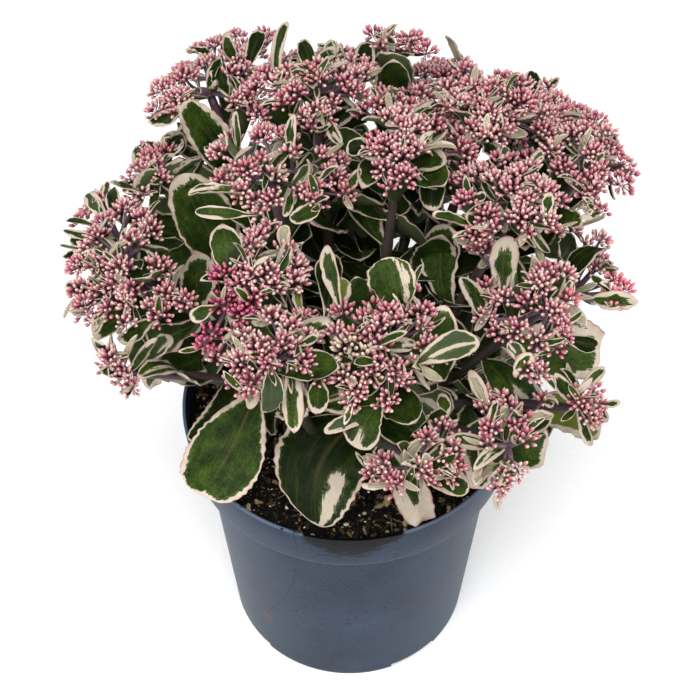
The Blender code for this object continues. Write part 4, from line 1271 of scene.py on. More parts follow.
def cut_away(mesh, cutters):
    """The mesh with ring solids cut out of it."""
    pair = [bpy.data.objects.new(mesh.name, part) for part in (mesh, cutters.mesh("cutters"))]
    for part in pair:
        bpy.context.scene.collection.objects.link(part)
    boolean = pair[0].modifiers.new("Cut", "BOOLEAN")
    boolean.operation, boolean.solver, boolean.object = "DIFFERENCE", "EXACT", pair[1]
    shown = pair[0].evaluated_get(bpy.context.evaluated_depsgraph_get())
    whole = bpy.data.meshes.new_from_object(shown)
    for part in pair:
        bpy.data.objects.remove(part)
    return whole


def drain_cutters():
    """Boxes across the foot ring for the notches, and cylinders through the base for the holes."""
    cutters = Growth()
    turn = DRAIN_NOTCH_ANGLE - math.radians(90.0) + np.arange(DRAIN_NOTCHES) * math.tau / DRAIN_NOTCHES
    outward = between(RIGHT, BACK, turn)[:, None, None, :]
    aside = between(BACK, -RIGHT, turn)[:, None, None, :]
    height = np.array((-1.0, 1.0))[None, :, None, None] * DRAIN_NOTCH_HEIGHT * UP
    deep = np.array((1.0, -1.0, -1.0, 1.0))[None, None, :, None] * 0.5 * DRAIN_CUT_DEPTH
    wide = np.array((1.0, 1.0, -1.0, -1.0))[None, None, :, None] * 0.5 * DRAIN_NOTCH_WIDTH
    rings = outward * (BODY_FOOT_RADIUS + deep) + aside * wide + height
    cutters.add(rings, rings.mean(2))
    turn = (np.arange(DRAIN_HOLES) + 0.5) * math.tau / DRAIN_HOLES
    middle = between(RIGHT, BACK, turn) * DRAIN_HOLE_CIRCLE
    path = middle[:, None, :] + np.array((-1.0, 0.0, 1.0))[:, None] * DRAIN_CUT_DEPTH * UP
    radius = np.full(path.shape[:2], DRAIN_HOLE_RADIUS)
    cutters.add(*tubes(path, radius, 32, np.broadcast_to(RIGHT, middle.shape)))
    return cutters


def make_compost():
    """The compost block: its top is a flat mound, roughened by sine waves of several lengths
    and directions that fade out at its edge."""
    edge = RIM_RADIUS - WALL - SEAT_GAP - 1.0 * MM
    floor = WALL + BASE_RECESS + SEAT_GAP
    foot = BODY_FOOT_RADIUS + (BODY_TOP_RADIUS - BODY_FOOT_RADIUS) * floor / (POT_HEIGHT - COLLAR_HEIGHT)
    shoulder = BODY_TOP_RADIUS - WALL - SEAT_GAP - 1.0 * MM
    collar_foot = POT_HEIGHT - COLLAR_HEIGHT
    top = np.linspace(1.0, 0.03, COMPOST_RINGS) * (edge - 0.5 * MM)
    profile = [
        (0.0, floor), (foot - WALL - 2.0 * SEAT_GAP - 1.0 * MM, floor), (shoulder, collar_foot),
        (shoulder + 5.0 * MM, collar_foot + 3.2 * MM), (edge - 1.5 * MM, collar_foot + 4.5 * MM),
        (edge, compost_surface(edge) - 1.0 * MM),
        *((radius, compost_surface(radius)) for radius in (*top, 0.0)),
    ]
    rings, ends = turned(profile, COMPOST_SIDES)
    x, y = rings[..., 0] / MM, rings[..., 1] / MM
    rough = sum(
        math.sqrt(size) * np.sin((x * math.cos(turn) + y * math.sin(turn)) * math.tau / size + turn)
        for size, turn in ((34.0, 0.3), (23.0, 1.7), (14.0, 2.9), (9.0, 4.4), (6.5, 5.6), (4.8, 0.9))
    )
    fade = np.zeros(rings.shape[1])
    fade[-len(top):] = np.clip((1.0 - top / top[0]) * 30.0, 0.0, 1.0)
    rings[..., 2] += 0.10 * MM * rough * fade[None, :, None]
    growth = Growth()
    growth.add(rings, ends)
    return growth


def scatter_crumbs(count, low, high, stretch, rise, seed):
    """Crumbs strewn over the compost: ovals of their own sizes, proportions and turns, whose
    outlines are jolted at random."""
    rng = generator("crumbs", seed)
    radius = np.sqrt(rng.random(count)) * (RIM_RADIUS - WALL - 4.0 * MM)
    around = rng.uniform(0.0, math.tau, count)
    size = low * (high / low) ** rng.random(count) * 0.5
    height = compost_surface(radius) + size * rise * rng.uniform(0.2, 1.0, count)
    middle = radius[:, None] * between(RIGHT, BACK, around) + height[:, None] * UP
    axis = unit(rng.normal(0.0, 1.0, (count, 3)) * np.array((1.0, 1.0, 0.4)))
    first, second = square_axes(axis)
    long = size * rng.uniform(1.0, stretch, count)
    angle = np.arange(CRUMB_SIDES) * math.tau / CRUMB_SIDES
    rows = np.array((-0.72, 0.0, 0.72))
    wide = np.sqrt(1.0 - rows**2)
    ring = between(first[:, None], 0.7 * second[:, None], angle)
    jolt = rng.uniform(0.72, 1.22, (count, len(rows), CRUMB_SIDES, 1))
    spine = middle[:, None, :] + axis[:, None, :] * (rows[:, None] * long[:, None, None])
    rings = spine[:, :, None] + ring[:, None] * wide[:, None, None] * size[:, None, None, None] * jolt
    ends = middle[:, None] + axis[:, None] * (np.array((-1.0, 1.0))[:, None] * long[:, None, None])
    growth = Growth()
    own, shade = rng.random(count), rng.random(count)
    growth.add(rings, ends, crumb=vertex_values(rows, -1.0, 1.0, CRUMB_SIDES, own, shade))
    return growth


def scatter_fibres(count):
    """Peat fibres: thin bent tubes that lie on the compost."""
    rng = generator("fibres")
    radius = np.sqrt(rng.random(count)) * (RIM_RADIUS - WALL - 10.0 * MM)
    around = rng.uniform(0.0, math.tau, count)
    height = compost_surface(radius) + 0.8 * MM
    middle = radius[:, None] * between(RIGHT, BACK, around) + height[:, None] * UP
    heading = rng.uniform(0.0, math.tau, count)
    along = np.stack((np.cos(heading), np.sin(heading), rng.normal(0.0, 0.12, count)), -1)
    half = rng.uniform(2.5, 8.0, (count, 1)) * MM
    bend = rng.normal(0.0, 1.5, (count, 3)) * MM
    path = curve_between(middle - along * half, middle + bend, middle + along * half, 7)
    growth = Growth()
    add_tubes(growth, path, FIBRE_RADIUS, 5, rng.random(count), 0, "crumb")
    return growth


# Materials.

# The settings of a node that mixes two colours, and of one that adds to a product.
BLEND = {"output": 2, "data_type": "RGBA"}
TIMES_PLUS = {"operation": "MULTIPLY_ADD"}


def add_node(material, kind, inputs=None, output=0, stops=(), **settings):
    """Add one node: its settings are set, its colour stops placed, and each input is given a
    value or a link from another node's output. Returns one of its own outputs."""
    node = material.node_tree.nodes.new("ShaderNode" + kind)
    for key, value in settings.items():
        setattr(node, key, value)
    for index, (place, colour) in enumerate(stops):
        elements = node.color_ramp.elements
        element = elements[index] if index < 2 else elements.new(place)
        element.position, element.color = place, colour
    for key, value in (inputs or {}).items():
        if isinstance(value, bpy.types.NodeSocket):
            material.node_tree.links.new(value, node.inputs[key])
        else:
            node.inputs[key].default_value = value
    return node.outputs[output] if node.outputs else node


def new_material(name, finish, *details):
    """A material whose shader has the inputs that its finish works out with its details."""
    material = bpy.data.materials.new(name)
    material.use_nodes = True
    material.node_tree.nodes.clear()
    add = functools.partial(add_node, material)
    add("OutputMaterial", {"Surface": add("BsdfPrincipled", finish(add, *details))})
    return material


def leaf_finish(add, settings):
    """Variegated stonecrop leaf, fleshy, with a thin bloom of wax: a soft broad gloss, deep green
    that shifts in patches and along its veins, and a cream margin with a streaky border,
    grey-green where the pale tissue lies thin over green, and pink along the very edge."""
    names = ("blade", "leaf", "leaf_side")
    blade, leaf, side = (add("Attribute", output="Vector", attribute_name=name) for name in names)
    inset, across, along = add("SeparateXYZ", {0: leaf}).node.outputs
    over, kind, seed = add("SeparateXYZ", {0: side}).node.outputs
    # The blade's places are in millimetres, so a scale is cells to the millimetre: veins 1.6 mm
    # wide and 17 mm long, patches about 9 mm and mottling about 1.2 mm.
    sizes = ((0.62, 0.06, 1.0), (0.11, 0.10, 1.0), (0.9, 0.7, 1.0))
    places = [add("Mapping", {"Vector": blade, "Scale": size}) for size in sizes]
    details = {"Scale": 1.0, "Detail": 3.5, "Roughness": 0.6}
    veins, patches, mottle = (add("TexNoise", {"Vector": place, **details}) for place in places)
    border = add("Math", {0: veins, 1: 1.5, 2: inset}, **TIMES_PLUS)
    border = add("Math", {0: patches, 1: 1.3, 2: border}, **TIMES_PLUS)
    border = add("Math", {0: border, 1: -1.4}, operation="ADD")

    mixed = add("Math", {0: patches, 1: 0.62}, operation="MULTIPLY")
    mixed = add("Math", {0: mottle, 1: 0.38, 2: mixed}, **TIMES_PLUS)
    stops = (
        (0.34, srgb("#0c1505")), (0.48, settings.green),
        (0.60, srgb("#2e3e10")), (0.74, srgb("#4a591a")),
    )
    colour = add("ValToRGB", {0: mixed}, stops=stops)
    # The DARK_AND_SHADED tint, near black, is partly deep green and partly painted shade on leaves deep in
    # the clump.
    tints = (
        (YELLOWING, "#66702a", 0.7), (PALE, "#a39a82", 0.75), (DARK_AND_SHADED, "#070d03", 0.72), (SAGE, "#3c4732", 0.6),
    )
    layers = []
    for sort, tint, amount in tints:
        chosen = add("Math", {0: kind, 1: float(sort), 2: 0.5}, operation="COMPARE")
        layers.append((add("Math", {0: chosen, 1: amount}, operation="MULTIPLY"), tint))
    vein = add("MapRange", {"Value": veins, "From Min": 0.52, "From Max": 0.70, "To Max": 0.22})
    middle = add("Math", {0: across}, operation="ABSOLUTE")
    rib = add("MapRange", {"Value": middle, "From Min": 0.075, "From Max": 0.0, "To Max": 0.5})
    fading = add("Math", {0: 1.0, 1: along}, operation="SUBTRACT")
    rib = add("Math", {0: rib, 1: fading}, operation="MULTIPLY")
    soft = {"interpolation_type": "SMOOTHSTEP"}
    thin = add("MapRange", {"Value": border, "From Min": 1.55, "From Max": 1.05}, **soft)
    gaps = add("MapRange", {"Value": mottle, "From Min": 0.40, "From Max": 0.56, "To Max": 0.75})
    thin = add("Math", {0: thin, 1: gaps}, operation="MULTIPLY")
    under = add("MapRange", {"Value": over, "From Min": 0.1, "From Max": -0.3, "To Max": 0.45})
    dots = add("TexVoronoi", {"Vector": blade, "Scale": 0.55}, "Distance")
    dot = add("MapRange", {"Value": dots, "From Min": 0.16, "From Max": 0.08, "To Max": 0.6})
    layers += [(vein, "#4b5a28"), (rib, "#5f5632"), (thin, "#525c34"), (under, "#5c6646"), (dot, "#0c1206")]
    for share, tint in layers:
        colour = add("Mix", {0: share, 6: colour, 7: srgb(tint)}, **BLEND)

    cream = add("Mix", {0: mottle, 6: settings.margin, 7: srgb("#b7ab9c")}, **BLEND)
    edge = add("MapRange", {"Value": inset, "From Min": 0.30, "From Max": 0.0}, **soft)
    margin = add("MapRange", {"Value": border, "From Min": 1.06, "From Max": 0.92}, **soft)
    cream = add("Mix", {0: edge, 6: cream, 7: settings.edge}, **BLEND)
    colour = add("Mix", {0: margin, 6: colour, 7: cream}, **BLEND)
    light = add("Math", {0: seed, 1: 0.3, 2: 0.85}, **TIMES_PLUS)
    colour = add("HueSaturation", {"Value": light, "Color": colour})
    rough = add("Math", {0: mottle, 1: 0.25, 2: 0.34}, **TIMES_PLUS)
    height = add("Math", {0: veins, 1: 0.7, 2: mottle}, **TIMES_PLUS)
    bump = add("Bump", {"Strength": 0.45, "Distance": 0.0007, "Height": height})
    return {"Base Color": colour, "Roughness": rough, "Normal": bump, "Specular IOR Level": 0.07}


def bud_finish(add, settings):
    """Stonecrop buds, waxy and tightly closed: pale cream at the tips, pink down the sides and
    deeper at the base, with a faint broad shine."""
    bud = add("Attribute", output="Vector", attribute_name="bud")
    along, tone, kind = add("SeparateXYZ", {0: bud}).node.outputs
    moved = add("Math", {0: tone, 1: 0.46, 2: along}, **TIMES_PLUS)
    moved = add("Math", {0: moved, 1: -0.23}, operation="ADD")
    stops = (
        (0.0, settings.bud_base), (0.34, settings.bud_side),
        (0.66, srgb("#b57a80")), (0.94, settings.bud_tip),
    )
    colour = add("ValToRGB", {0: moved}, stops=stops)
    kinds = (
        (MAGENTA, ("#5c1730", "#932e50", "#b96a7c")),
        (CORAL, ("#a8425a", "#c8697a", "#d69790")),
        (CREAM, ("#7c5a4e", "#ab9080", "#c9b9a6")),
    )
    for sort, tints in kinds:
        stops = tuple(zip((0.05, 0.5, 0.95), map(srgb, tints)))
        own = add("ValToRGB", {0: moved}, stops=stops)
        chosen = add("Math", {0: kind, 1: float(sort), 2: 0.5}, operation="COMPARE")
        colour = add("Mix", {0: chosen, 6: colour, 7: own}, **BLEND)
    place = add("TexCoord", output="Object")
    mottle = add("TexNoise", {"Vector": place, "Scale": 900.0, "Detail": 2.0})
    light = add("Math", {0: mottle, 1: 0.4, 2: 0.75}, **TIMES_PLUS)
    colour = add("HueSaturation", {"Value": light, "Color": colour})
    bump = add("Bump", {"Strength": 0.3, "Distance": 0.0003, "Height": mottle})
    return {"Base Color": colour, "Roughness": 0.5, "Normal": bump, "Specular IOR Level": 0.2}


def stalk_finish(add, settings):
    """Stonecrop stems and flower stalks, smooth and fleshy: mauve near the flowers, olive green
    lower down, with a satin shine and fine streaks along them."""
    skin = add("Attribute", output="Vector", attribute_name="skin")
    along, seed, kind = add("SeparateXYZ", {0: skin}).node.outputs
    place = add("TexCoord", output="Object")
    place = add("Mapping", {"Vector": place, "Scale": (1.0, 1.0, 0.25)})
    streaks = add("TexNoise", {"Vector": place, "Scale": 260.0, "Detail": 3.0})
    stops = ((0.1, settings.stem_foot), (0.62, srgb("#35322a")), (0.95, settings.stem_top))
    colour = add("ValToRGB", {0: along}, stops=stops)
    branch = add("Mix", {0: seed, 6: settings.stem_top, 7: srgb("#66505a")}, **BLEND)
    thin = add("Mix", {0: along, 6: srgb("#3f272d"), 7: srgb("#6d434d")}, **BLEND)
    for start, own in ((BRANCH, branch), (PEDICEL, thin)):
        chosen = add("Math", {0: kind, 1: start - 0.5}, operation="GREATER_THAN")
        colour = add("Mix", {0: chosen, 6: colour, 7: own}, **BLEND)
    light = add("Math", {0: streaks, 1: 0.5, 2: 0.72}, **TIMES_PLUS)
    colour = add("HueSaturation", {"Value": light, "Color": colour})
    bump = add("Bump", {"Strength": 0.3, "Distance": 0.0004, "Height": streaks})
    return {"Base Color": colour, "Roughness": 0.42, "Normal": bump, "Specular IOR Level": 0.3}


def compost_finish(add, settings):
    """Peat compost, damp and crumbly: nearly black between crumbs of brown and tan, each crumb
    about 1.6 mm, with no gloss."""
    place = add("TexCoord", output="Object")
    clumps = add("TexNoise", {"Vector": place, "Scale": 160.0, "Detail": 5.0})
    crumbs = add("TexVoronoi", {"Vector": place, "Scale": 620.0}, "Distance")
    shade = add("SeparateXYZ", {0: crumbs.node.outputs["Color"]})
    stops = (
        (0.0, settings.compost), (0.62, srgb("#130e0a")), (0.80, srgb("#32261a")), (0.94, srgb("#75603f")),
    )
    colour = add("ValToRGB", {0: shade}, stops=stops)
    gaps = add("MapRange", {"Value": crumbs, "From Min": 0.35, "From Max": 0.60})
    colour = add("Mix", {0: gaps, 6: colour, 7: settings.compost}, **BLEND)
    damp = add("MapRange", {"Value": clumps, "From Min": 0.56, "From Max": 0.42, "To Max": 0.85})
    colour = add("Mix", {0: damp, 6: colour, 7: settings.compost}, **BLEND)
    height = add("Math", {0: crumbs, 1: -1.0, 2: clumps}, **TIMES_PLUS)
    bump = add("Bump", {"Strength": 1.0, "Distance": 0.0018, "Height": height})
    return {"Base Color": colour, "Roughness": 0.85, "Normal": bump, "Specular IOR Level": 0.15}


def crumb_finish(add, colours, roughness):
    """Loose grains of one sort, each with its own shade: rough bark and peat, or dull grit."""
    crumb = add("Attribute", output="Vector", attribute_name="crumb")
    _along, seed, shade = add("SeparateXYZ", {0: crumb}).node.outputs
    colour = add("ValToRGB", {0: seed}, stops=[(place, srgb(tint)) for place, tint in colours])
    place = add("TexCoord", output="Object")
    grain = add("TexNoise", {"Vector": place, "Scale": 1400.0, "Detail": 3.0})
    light = add("Math", {0: shade, 1: 0.4, 2: 0.35}, **TIMES_PLUS)
    light = add("Math", {0: grain, 1: 0.9, 2: light}, **TIMES_PLUS)
    colour = add("HueSaturation", {"Value": light, "Color": colour})
    bump = add("Bump", {"Strength": 0.8, "Distance": 0.0006, "Height": grain})
    return {"Base Color": colour, "Roughness": roughness, "Normal": bump, "Specular IOR Level": 0.2}


def pot_finish(add, settings):
    """Polypropylene, injection moulded, black: a satin skin with a thin blue-grey film of dried
    dust that lies thicker in patches, a painted highlight along the lip and the collar's lower
    edge, dark specks of dirt, a long scratch and a smear of soil on the front, and a damp stain
    that runs down from the lip."""
    place = add("TexCoord", output="Object")
    x, y, z = add("SeparateXYZ", {0: place}).node.outputs
    cloud = add("TexNoise", {"Vector": place, "Scale": 22.0, "Detail": 4.0})
    grain = add("TexNoise", {"Vector": place, "Scale": 520.0, "Detail": 3.0})
    front = add("Math", {0: y, 1: 0.0}, operation="LESS_THAN")
    film = add("Math", {0: cloud, 1: 0.55, 2: settings.dust - 0.36}, **TIMES_PLUS)
    film = add("Math", {0: grain, 1: 0.30, 2: film}, **TIMES_PLUS)
    colour = add("Mix", {0: film, 6: settings.plastic, 7: settings.dust_colour}, **BLEND)

    # The lip and the collar's lower edge are painted pale, about a millimetre wide: a painted highlight where
    # these edges catch the light.
    layers = []
    for level, half in ((POT_HEIGHT, 0.8 * MM), (POT_HEIGHT - COLLAR_HEIGHT, 0.9 * MM)):
        away = add("Math", {0: z, 1: level}, operation="SUBTRACT")
        away = add("Math", {0: away}, operation="ABSOLUTE")
        painted_edge_highlight = add("MapRange", {"Value": away, "From Min": half, "From Max": 0.4 * half, "To Max": 0.5})
        layers.append((painted_edge_highlight, "#6b788e"))

    dots = add("TexVoronoi", {"Vector": place, "Scale": 1.0 / SPECK_SPACING}, "Distance")
    chance = add("SeparateXYZ", {0: dots.node.outputs["Color"]})
    radius = add("Math", {0: chance, 1: 0.24, 2: -0.05}, **TIMES_PLUS)
    speck = add("Math", {0: dots, 1: radius}, operation="LESS_THAN")
    layers.append((speck, "#0b0d12"))

    # The scratch is part of a circle seen from the front, and fades out past its ends.
    flat = add("CombineXYZ", {0: x, 2: z})
    away = add("VectorMath", {0: flat, 1: SCRATCH_MIDDLE}, "Value", operation="DISTANCE")
    away = add("Math", {0: away, 1: SCRATCH_RADIUS}, operation="SUBTRACT")
    away = add("Math", {0: away}, operation="ABSOLUTE")
    line = add("MapRange", {"Value": away, "From Min": 0.5 * MM, "From Max": 0.2 * MM, "To Max": 0.55})
    left = add("Math", {0: x, 1: SCRATCH_RIGHT_END}, operation="LESS_THAN")
    low = add("Math", {0: z, 1: SCRATCH_LOW_END}, operation="GREATER_THAN")
    for limit in (front, left, low):
        line = add("Math", {0: line, 1: limit}, operation="MULTIPLY")
    layers.append((line, "#10161f"))
    away = add("VectorMath", {0: place, 1: SMEAR_MIDDLE}, "Value", operation="DISTANCE")
    smear = add("MapRange", {"Value": away, "From Min": SMEAR_RADIUS, "From Max": 0.0})
    smear = add("Math", {0: smear, 1: grain}, operation="MULTIPLY")
    smear = add("MapRange", {"Value": smear, "From Min": 0.24, "From Max": 0.34, "To Max": 0.8})
    layers.append((smear, "#46352b"))

    # The stain is deepest in the middle of the front and its lower border wanders.
    aside = add("Math", {0: x, 1: 1.0 / STAIN_HALF_WIDTH}, operation="MULTIPLY")
    aside = add("Math", {0: aside, 1: 2.0}, operation="POWER")
    reach = add("Math", {0: aside, 1: -STAIN_DEPTH, 2: STAIN_DEPTH - POT_HEIGHT}, **TIMES_PLUS)
    wander = add("Mapping", {"Vector": place, "Scale": (1.0, 1.0, 2.2)})
    wander = add("TexNoise", {"Vector": wander, "Scale": 130.0, "Detail": 3.0})
    reach = add("Math", {0: wander, 1: 1.5 * STAIN_DEPTH, 2: reach}, **TIMES_PLUS)
    reach = add("Math", {0: reach, 1: z}, operation="ADD")
    low, high = 0.55 * STAIN_DEPTH, 0.95 * STAIN_DEPTH
    stain = add("MapRange", {"Value": reach, "From Min": low, "From Max": high})
    stain = add("Math", {0: stain, 1: front}, operation="MULTIPLY")
    layers.append((stain, "#030406"))
    for share, tint in layers:
        colour = add("Mix", {0: share, 6: colour, 7: srgb(tint)}, **BLEND)

    rough = add("Math", {0: film, 1: 0.35, 2: settings.roughness}, **TIMES_PLUS)
    bump = add("Bump", {"Strength": 0.35, "Distance": 0.0004, "Height": grain})
    return {"Base Color": colour, "Roughness": rough, "Normal": bump, "Specular IOR Level": 0.06}


def floor_finish(add, settings):
    """Studio paper, matt and nearly white."""
    place = add("TexCoord", output="Object")
    tooth = add("TexNoise", {"Vector": place, "Scale": 300.0, "Detail": 2.0})
    colour = add("Mix", {0: tooth, 6: settings.floor, 7: srgb("#ffffff")}, **BLEND)
    return {"Base Color": colour, "Roughness": 0.9, "Specular IOR Level": 0.2}


# Settings.

LENGTH = {"subtype": "DISTANCE", "unit": "LENGTH"}
SHARE = {"subtype": "FACTOR"}
POWER = {"unit": "POWER"}


def colour_setting(name, description, default):
    """A colour that a user can change."""
    return bpy.props.FloatVectorProperty(
        name=name, description=description, default=srgb(default), size=4, min=0.0, max=1.0, subtype="COLOR"
    )


def number_setting(name, description, default, low, high, **form):
    """A number that a user can change."""
    return bpy.props.FloatProperty(
        name=name, description=description, default=default, min=low, max=high, **form
    )


def count_setting(name, description, default, high):
    """A number of things that a user can change."""
    return bpy.props.IntProperty(name=name, description=description, default=default, min=1, max=high)


class FlowerSettings(bpy.types.PropertyGroup):
    """Sizes and colours of the flower heads."""

    bud_length: number_setting("Bud length", "Length of one bud", 4.2 * MM, 2.0 * MM, 9.0 * MM, **LENGTH)
    bud_width: number_setting("Bud width", "Width of one bud", 2.25 * MM, 1.0 * MM, 6.0 * MM, **LENGTH)
    bud_spacing: number_setting("Bud spacing", "Between buds", 2.28 * MM, 1.0 * MM, 9.0 * MM, **LENGTH)
    bract_size: number_setting("Bract size", "Scale of the bracts", 1.0, 0.3, 2.0)
    bud_base: colour_setting("Bud base", "Colour at a bud's base", "#64283a")
    bud_side: colour_setting("Bud side", "Colour of a bud's side", "#a0505f")
    bud_tip: colour_setting("Bud tip", "Colour of a bud's tip", "#c9b4aa")
    stem_top: colour_setting("Stem top", "Colour of a stem under its head", "#44303a")
    stem_foot: colour_setting("Stem foot", "Colour of a stem at its foot", "#292c16")


class LeafSettings(bpy.types.PropertyGroup):
    """Colours of the leaves."""

    green: colour_setting("Green", "Usual green of a leaf", "#1d2c0b")
    margin: colour_setting("Margin", "Colour of a leaf's pale margin", "#9f9282")
    edge: colour_setting("Edge", "Colour of a leaf's very edge", "#97726a")


class PotSettings(bpy.types.PropertyGroup):
    """Finish of the pot and the compost."""

    plastic: colour_setting("Plastic", "Colour of the clean plastic", "#111b2a")
    dust_colour: colour_setting("Dust colour", "Colour of the film of dust", "#4a5b74")
    dust: number_setting("Dust", "How much dust lies on the pot", 0.10, 0.0, 1.0, **SHARE)
    roughness: number_setting("Roughness", "Roughness of the clean plastic", 0.30, 0.0, 1.0, **SHARE)
    compost: colour_setting("Compost", "Darkest colour of the compost", "#060403")
    crumbs: count_setting("Crumbs", "Number of bark and peat crumbs", 1900, 5000)
    grit: count_setting("Grit", "Number of grains of grit", 380, 2000)
    fibres: count_setting("Fibres", "Number of peat fibres", 110, 1000)


class StageSettings(bpy.types.PropertyGroup):
    """Floor and lights."""

    floor: colour_setting("Floor", "Colour of the floor", "#f6f6f6")
    sky: number_setting("Sky", "Strength of the even light", 0.36, 0.0, 5.0)
    key: number_setting("Key", "Power of the large soft light", 36.0, 0.0, 500.0, **POWER)
    side: number_setting("Sides", "Power of each side light", 14.0, 0.0, 500.0, **POWER)


# Operators.


class STONECROP_OT_pot(bpy.types.Operator):
    """Make the nursery pot: a turned shell with drainage notches and holes."""

    bl_idname = "stonecrop.pot"
    bl_label = "Pot"

    def execute(self, context):
        shell = Growth()
        shell.add(*turned(pot_profile(), POT_SIDES))
        mesh = cut_away(shell.mesh("nursery_pot"), drain_cutters())
        mesh.uv_layers.remove(mesh.uv_layers["OFBake"])
        mesh.set_sharp_from_angle(angle=math.radians(35.0))
        mesh.materials.clear()
        settings = context.scene.stonecrop_pot
        mesh.materials.append(new_material("Polypropylene, moulded, dusty", pot_finish, settings))
        place_piece("nursery_pot", mesh, ("pot",))
        return {"FINISHED"}


class STONECROP_OT_compost(bpy.types.Operator):
    """Make the compost block with the bark crumbs, grit and fibres strewn on it."""

    bl_idname = "stonecrop.compost"
    bl_label = "Compost"

    def execute(self, context):
        settings = context.scene.stonecrop_pot
        peat = new_material("Peat compost, damp", compost_finish, settings)
        make_compost().build("peat_compost", peat, "compost", "compost")
        bark = (0.0, "#0c0906"), (0.50, "#17110c"), (0.68, "#35281a"), (0.82, "#5c4a2e"), (0.93, "#94825a")
        stone = (0.0, "#77705f"), (0.5, "#a89f88"), (1.0, "#cfc9b8")
        straw = (0.0, "#4a3a26"), (1.0, "#a08a60")
        crumbs = scatter_crumbs(settings.crumbs, 0.9 * MM, 4.0 * MM, 2.2, 0.5, "bark")
        grains = scatter_crumbs(settings.grit, 0.8 * MM, 2.6 * MM, 1.4, 1.0, "grit")
        for name, growth, kind, colours, roughness in (
            ("bark_crumbs", crumbs, "Bark, composted", bark, 0.75),
            ("grit_grains", grains, "Grit, dull", stone, 0.6),
            ("peat_fibres", scatter_fibres(settings.fibres), "Peat fibre, dry", straw, 0.8),
        ):
            growth.build(name, new_material(kind, crumb_finish, colours, roughness), "compost")
        return {"FINISHED"}


class STONECROP_OT_stems(bpy.types.Operator):
    """Make the stems."""

    bl_idname = "stonecrop.stems"
    bl_label = "Stems"

    def execute(self, context):
        settings = context.scene.stonecrop_flowers
        material = new_material("Stonecrop stalk, smooth", stalk_finish, settings)
        for name in STEMS:
            make_stem(name).build(f"stalk_{name}", material, "stem_skin", f"stem_{name}")
        return {"FINISHED"}


class STONECROP_OT_heads(bpy.types.Operator):
    """Make the flower heads: their buds, stalks and bracts."""

    bl_idname = "stonecrop.heads"
    bl_label = "Flower heads"

    def execute(self, context):
        settings = context.scene.stonecrop_flowers
        bud = new_material("Stonecrop bud, waxy", bud_finish, settings)
        stalk = bpy.data.materials["Stonecrop stalk, smooth"]
        leaf = new_material("Stonecrop leaf, waxy", leaf_finish, context.scene.stonecrop_leaves)
        for name in STEMS:
            rng = generator("head", name)
            clusters = clusters_of(name, rng)
            buds, stalks, bracts = Growth(), Growth(), Growth()
            add_buds(buds, stalks, clusters, settings, rng)
            divides, top, axis = add_branches(stalks, name, clusters, rng)
            add_bracts(bracts, clusters, divides, top, axis, settings, rng)
            buds.build(f"buds_{name}", bud, "buds", f"flower_head_{name}")
            stalks.build(f"flower_stalks_{name}", stalk, "stem_skin", f"flower_head_{name}")
            bracts.build(f"bracts_{name}", leaf, "leaf", f"flower_head_{name}")
        return {"FINISHED"}


class STONECROP_OT_leaves(bpy.types.Operator):
    """Make the large leaves and every stem's smaller ones."""

    bl_idname = "stonecrop.leaves"
    bl_label = "Leaves"

    def execute(self, context):
        leaf = bpy.data.materials["Stonecrop leaf, waxy"]
        for name in LARGE_LEAVES:
            make_large_leaf(name).build(f"blade_{name}", leaf, "leaf", f"leaf_{name}")
        for name in STEMS:
            rng = generator("leaves", name)
            growth = Growth()
            add_blades(growth, stem_leaves(name, rng), *STEM_LEAF_GRID)
            if name in LEAVES_SEEN:
                add_blades(growth, leaves_seen_of(name, rng), *SEEN_LEAF_GRID)
            growth.build(f"leaves_{name}", leaf, "leaf")
        return {"FINISHED"}


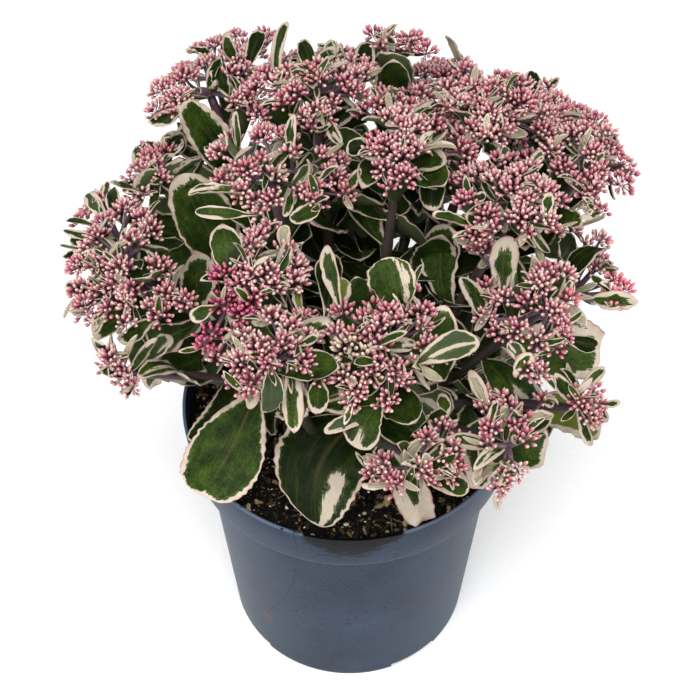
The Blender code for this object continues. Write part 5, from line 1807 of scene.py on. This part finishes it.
class STONECROP_OT_stage(bpy.types.Operator):
    """Make the floor, the lights and the camera."""

    bl_idname = "stonecrop.stage"
    bl_label = "Stage"

    def execute(self, context):
        scene = context.scene
        settings = scene.stonecrop_stage
        bpy.ops.mesh.primitive_plane_add(size=FLOOR_SIZE, location=(0.0, 0.0, float(POT_LOW[2])))
        floor = context.object
        floor.name = "studio_floor"
        floor.data.materials.append(new_material("Studio paper, matt", floor_finish, settings))
        world = bpy.data.worlds.new("Even light")
        world.use_nodes = True
        backdrop = world.node_tree.nodes["Background"]
        backdrop.inputs["Color"].default_value = (1.0, 1.0, 1.0, 1.0)
        backdrop.inputs["Strength"].default_value = settings.sky
        scene.world = world
        lights = (
            ("Key", settings.key, (-0.1, -0.75, 1.65), 1.3),
            ("Left", settings.side, (-1.3, -0.5, 0.6), 0.8),
            ("Right", settings.side, (1.3, -0.5, 0.6), 0.8),
        )
        for name, power, place, size in lights:
            light = bpy.data.lights.new(name, "AREA")
            light.energy, light.shape, light.size = power, "DISK", size
            lamp = bpy.data.objects.new(name, light)
            lamp.location = place
            aim = Vector(LIGHT_TARGET) - Vector(place)
            lamp.rotation_euler = aim.to_track_quat("-Z", "Y").to_euler()
            scene.collection.objects.link(lamp)
        camera = bpy.data.objects.new("Camera", bpy.data.cameras.new("Camera"))
        camera.data.lens = VIEW_FOCAL_PIXELS / FRAME_PIXELS * SENSOR_MM
        camera.data.sensor_width = SENSOR_MM
        place, _forward, _right, _up = view_axes()
        offset = (0.5 * FRAME_PIXELS - VIEW_MIDDLE[0]) / VIEW_FOCAL_PIXELS * VIEW_DISTANCE
        camera.location = Vector(place) + Vector((offset, 0.0, 0.0))
        camera.rotation_euler = (math.radians(90.0) - VIEW_ELEVATION, 0.0, 0.0)
        scene.collection.objects.link(camera)
        scene.camera = camera
        scene.view_settings.view_transform = "Standard"
        return {"FINISHED"}


class STONECROP_PT_panel(bpy.types.Panel):
    """Lists the plant's settings and operators in the sidebar."""

    bl_idname = "STONECROP_PT_panel"
    bl_label = "Potted stonecrop"
    bl_space_type = "VIEW_3D"
    bl_region_type = "UI"
    bl_category = "Stonecrop"

    def draw(self, context):
        for key in SETTINGS:
            group = getattr(context.scene, key)
            box = self.layout.box()
            for name in group.bl_rna.properties.keys():
                if name not in ("rna_type", "name"):
                    box.prop(group, name)
        for operator in OPERATORS:
            self.layout.operator(operator.bl_idname)


SETTINGS = {
    "stonecrop_flowers": FlowerSettings,
    "stonecrop_leaves": LeafSettings,
    "stonecrop_pot": PotSettings,
    "stonecrop_stage": StageSettings,
}
OPERATORS = (
    STONECROP_OT_pot,
    STONECROP_OT_compost,
    STONECROP_OT_stems,
    STONECROP_OT_heads,
    STONECROP_OT_leaves,
    STONECROP_OT_stage,
)


def register():
    """Register the settings, the operators and the panel."""
    for key, group in SETTINGS.items():
        bpy.utils.register_class(group)
        setattr(bpy.types.Scene, key, bpy.props.PointerProperty(type=group))
    for part in (*OPERATORS, STONECROP_PT_panel):
        bpy.utils.register_class(part)


def unregister():
    """Take them out again."""
    for part in (STONECROP_PT_panel, *reversed(OPERATORS)):
        bpy.utils.unregister_class(part)
    for key, group in SETTINGS.items():
        delattr(bpy.types.Scene, key)
        bpy.utils.unregister_class(group)


def main():
    """Register the settings and the operators, and make every piece in order."""
    register()
    for operator in OPERATORS:
        group, name = operator.bl_idname.split(".")
        getattr(getattr(bpy.ops, group), name)()


if __name__ == "__main__":
    main()
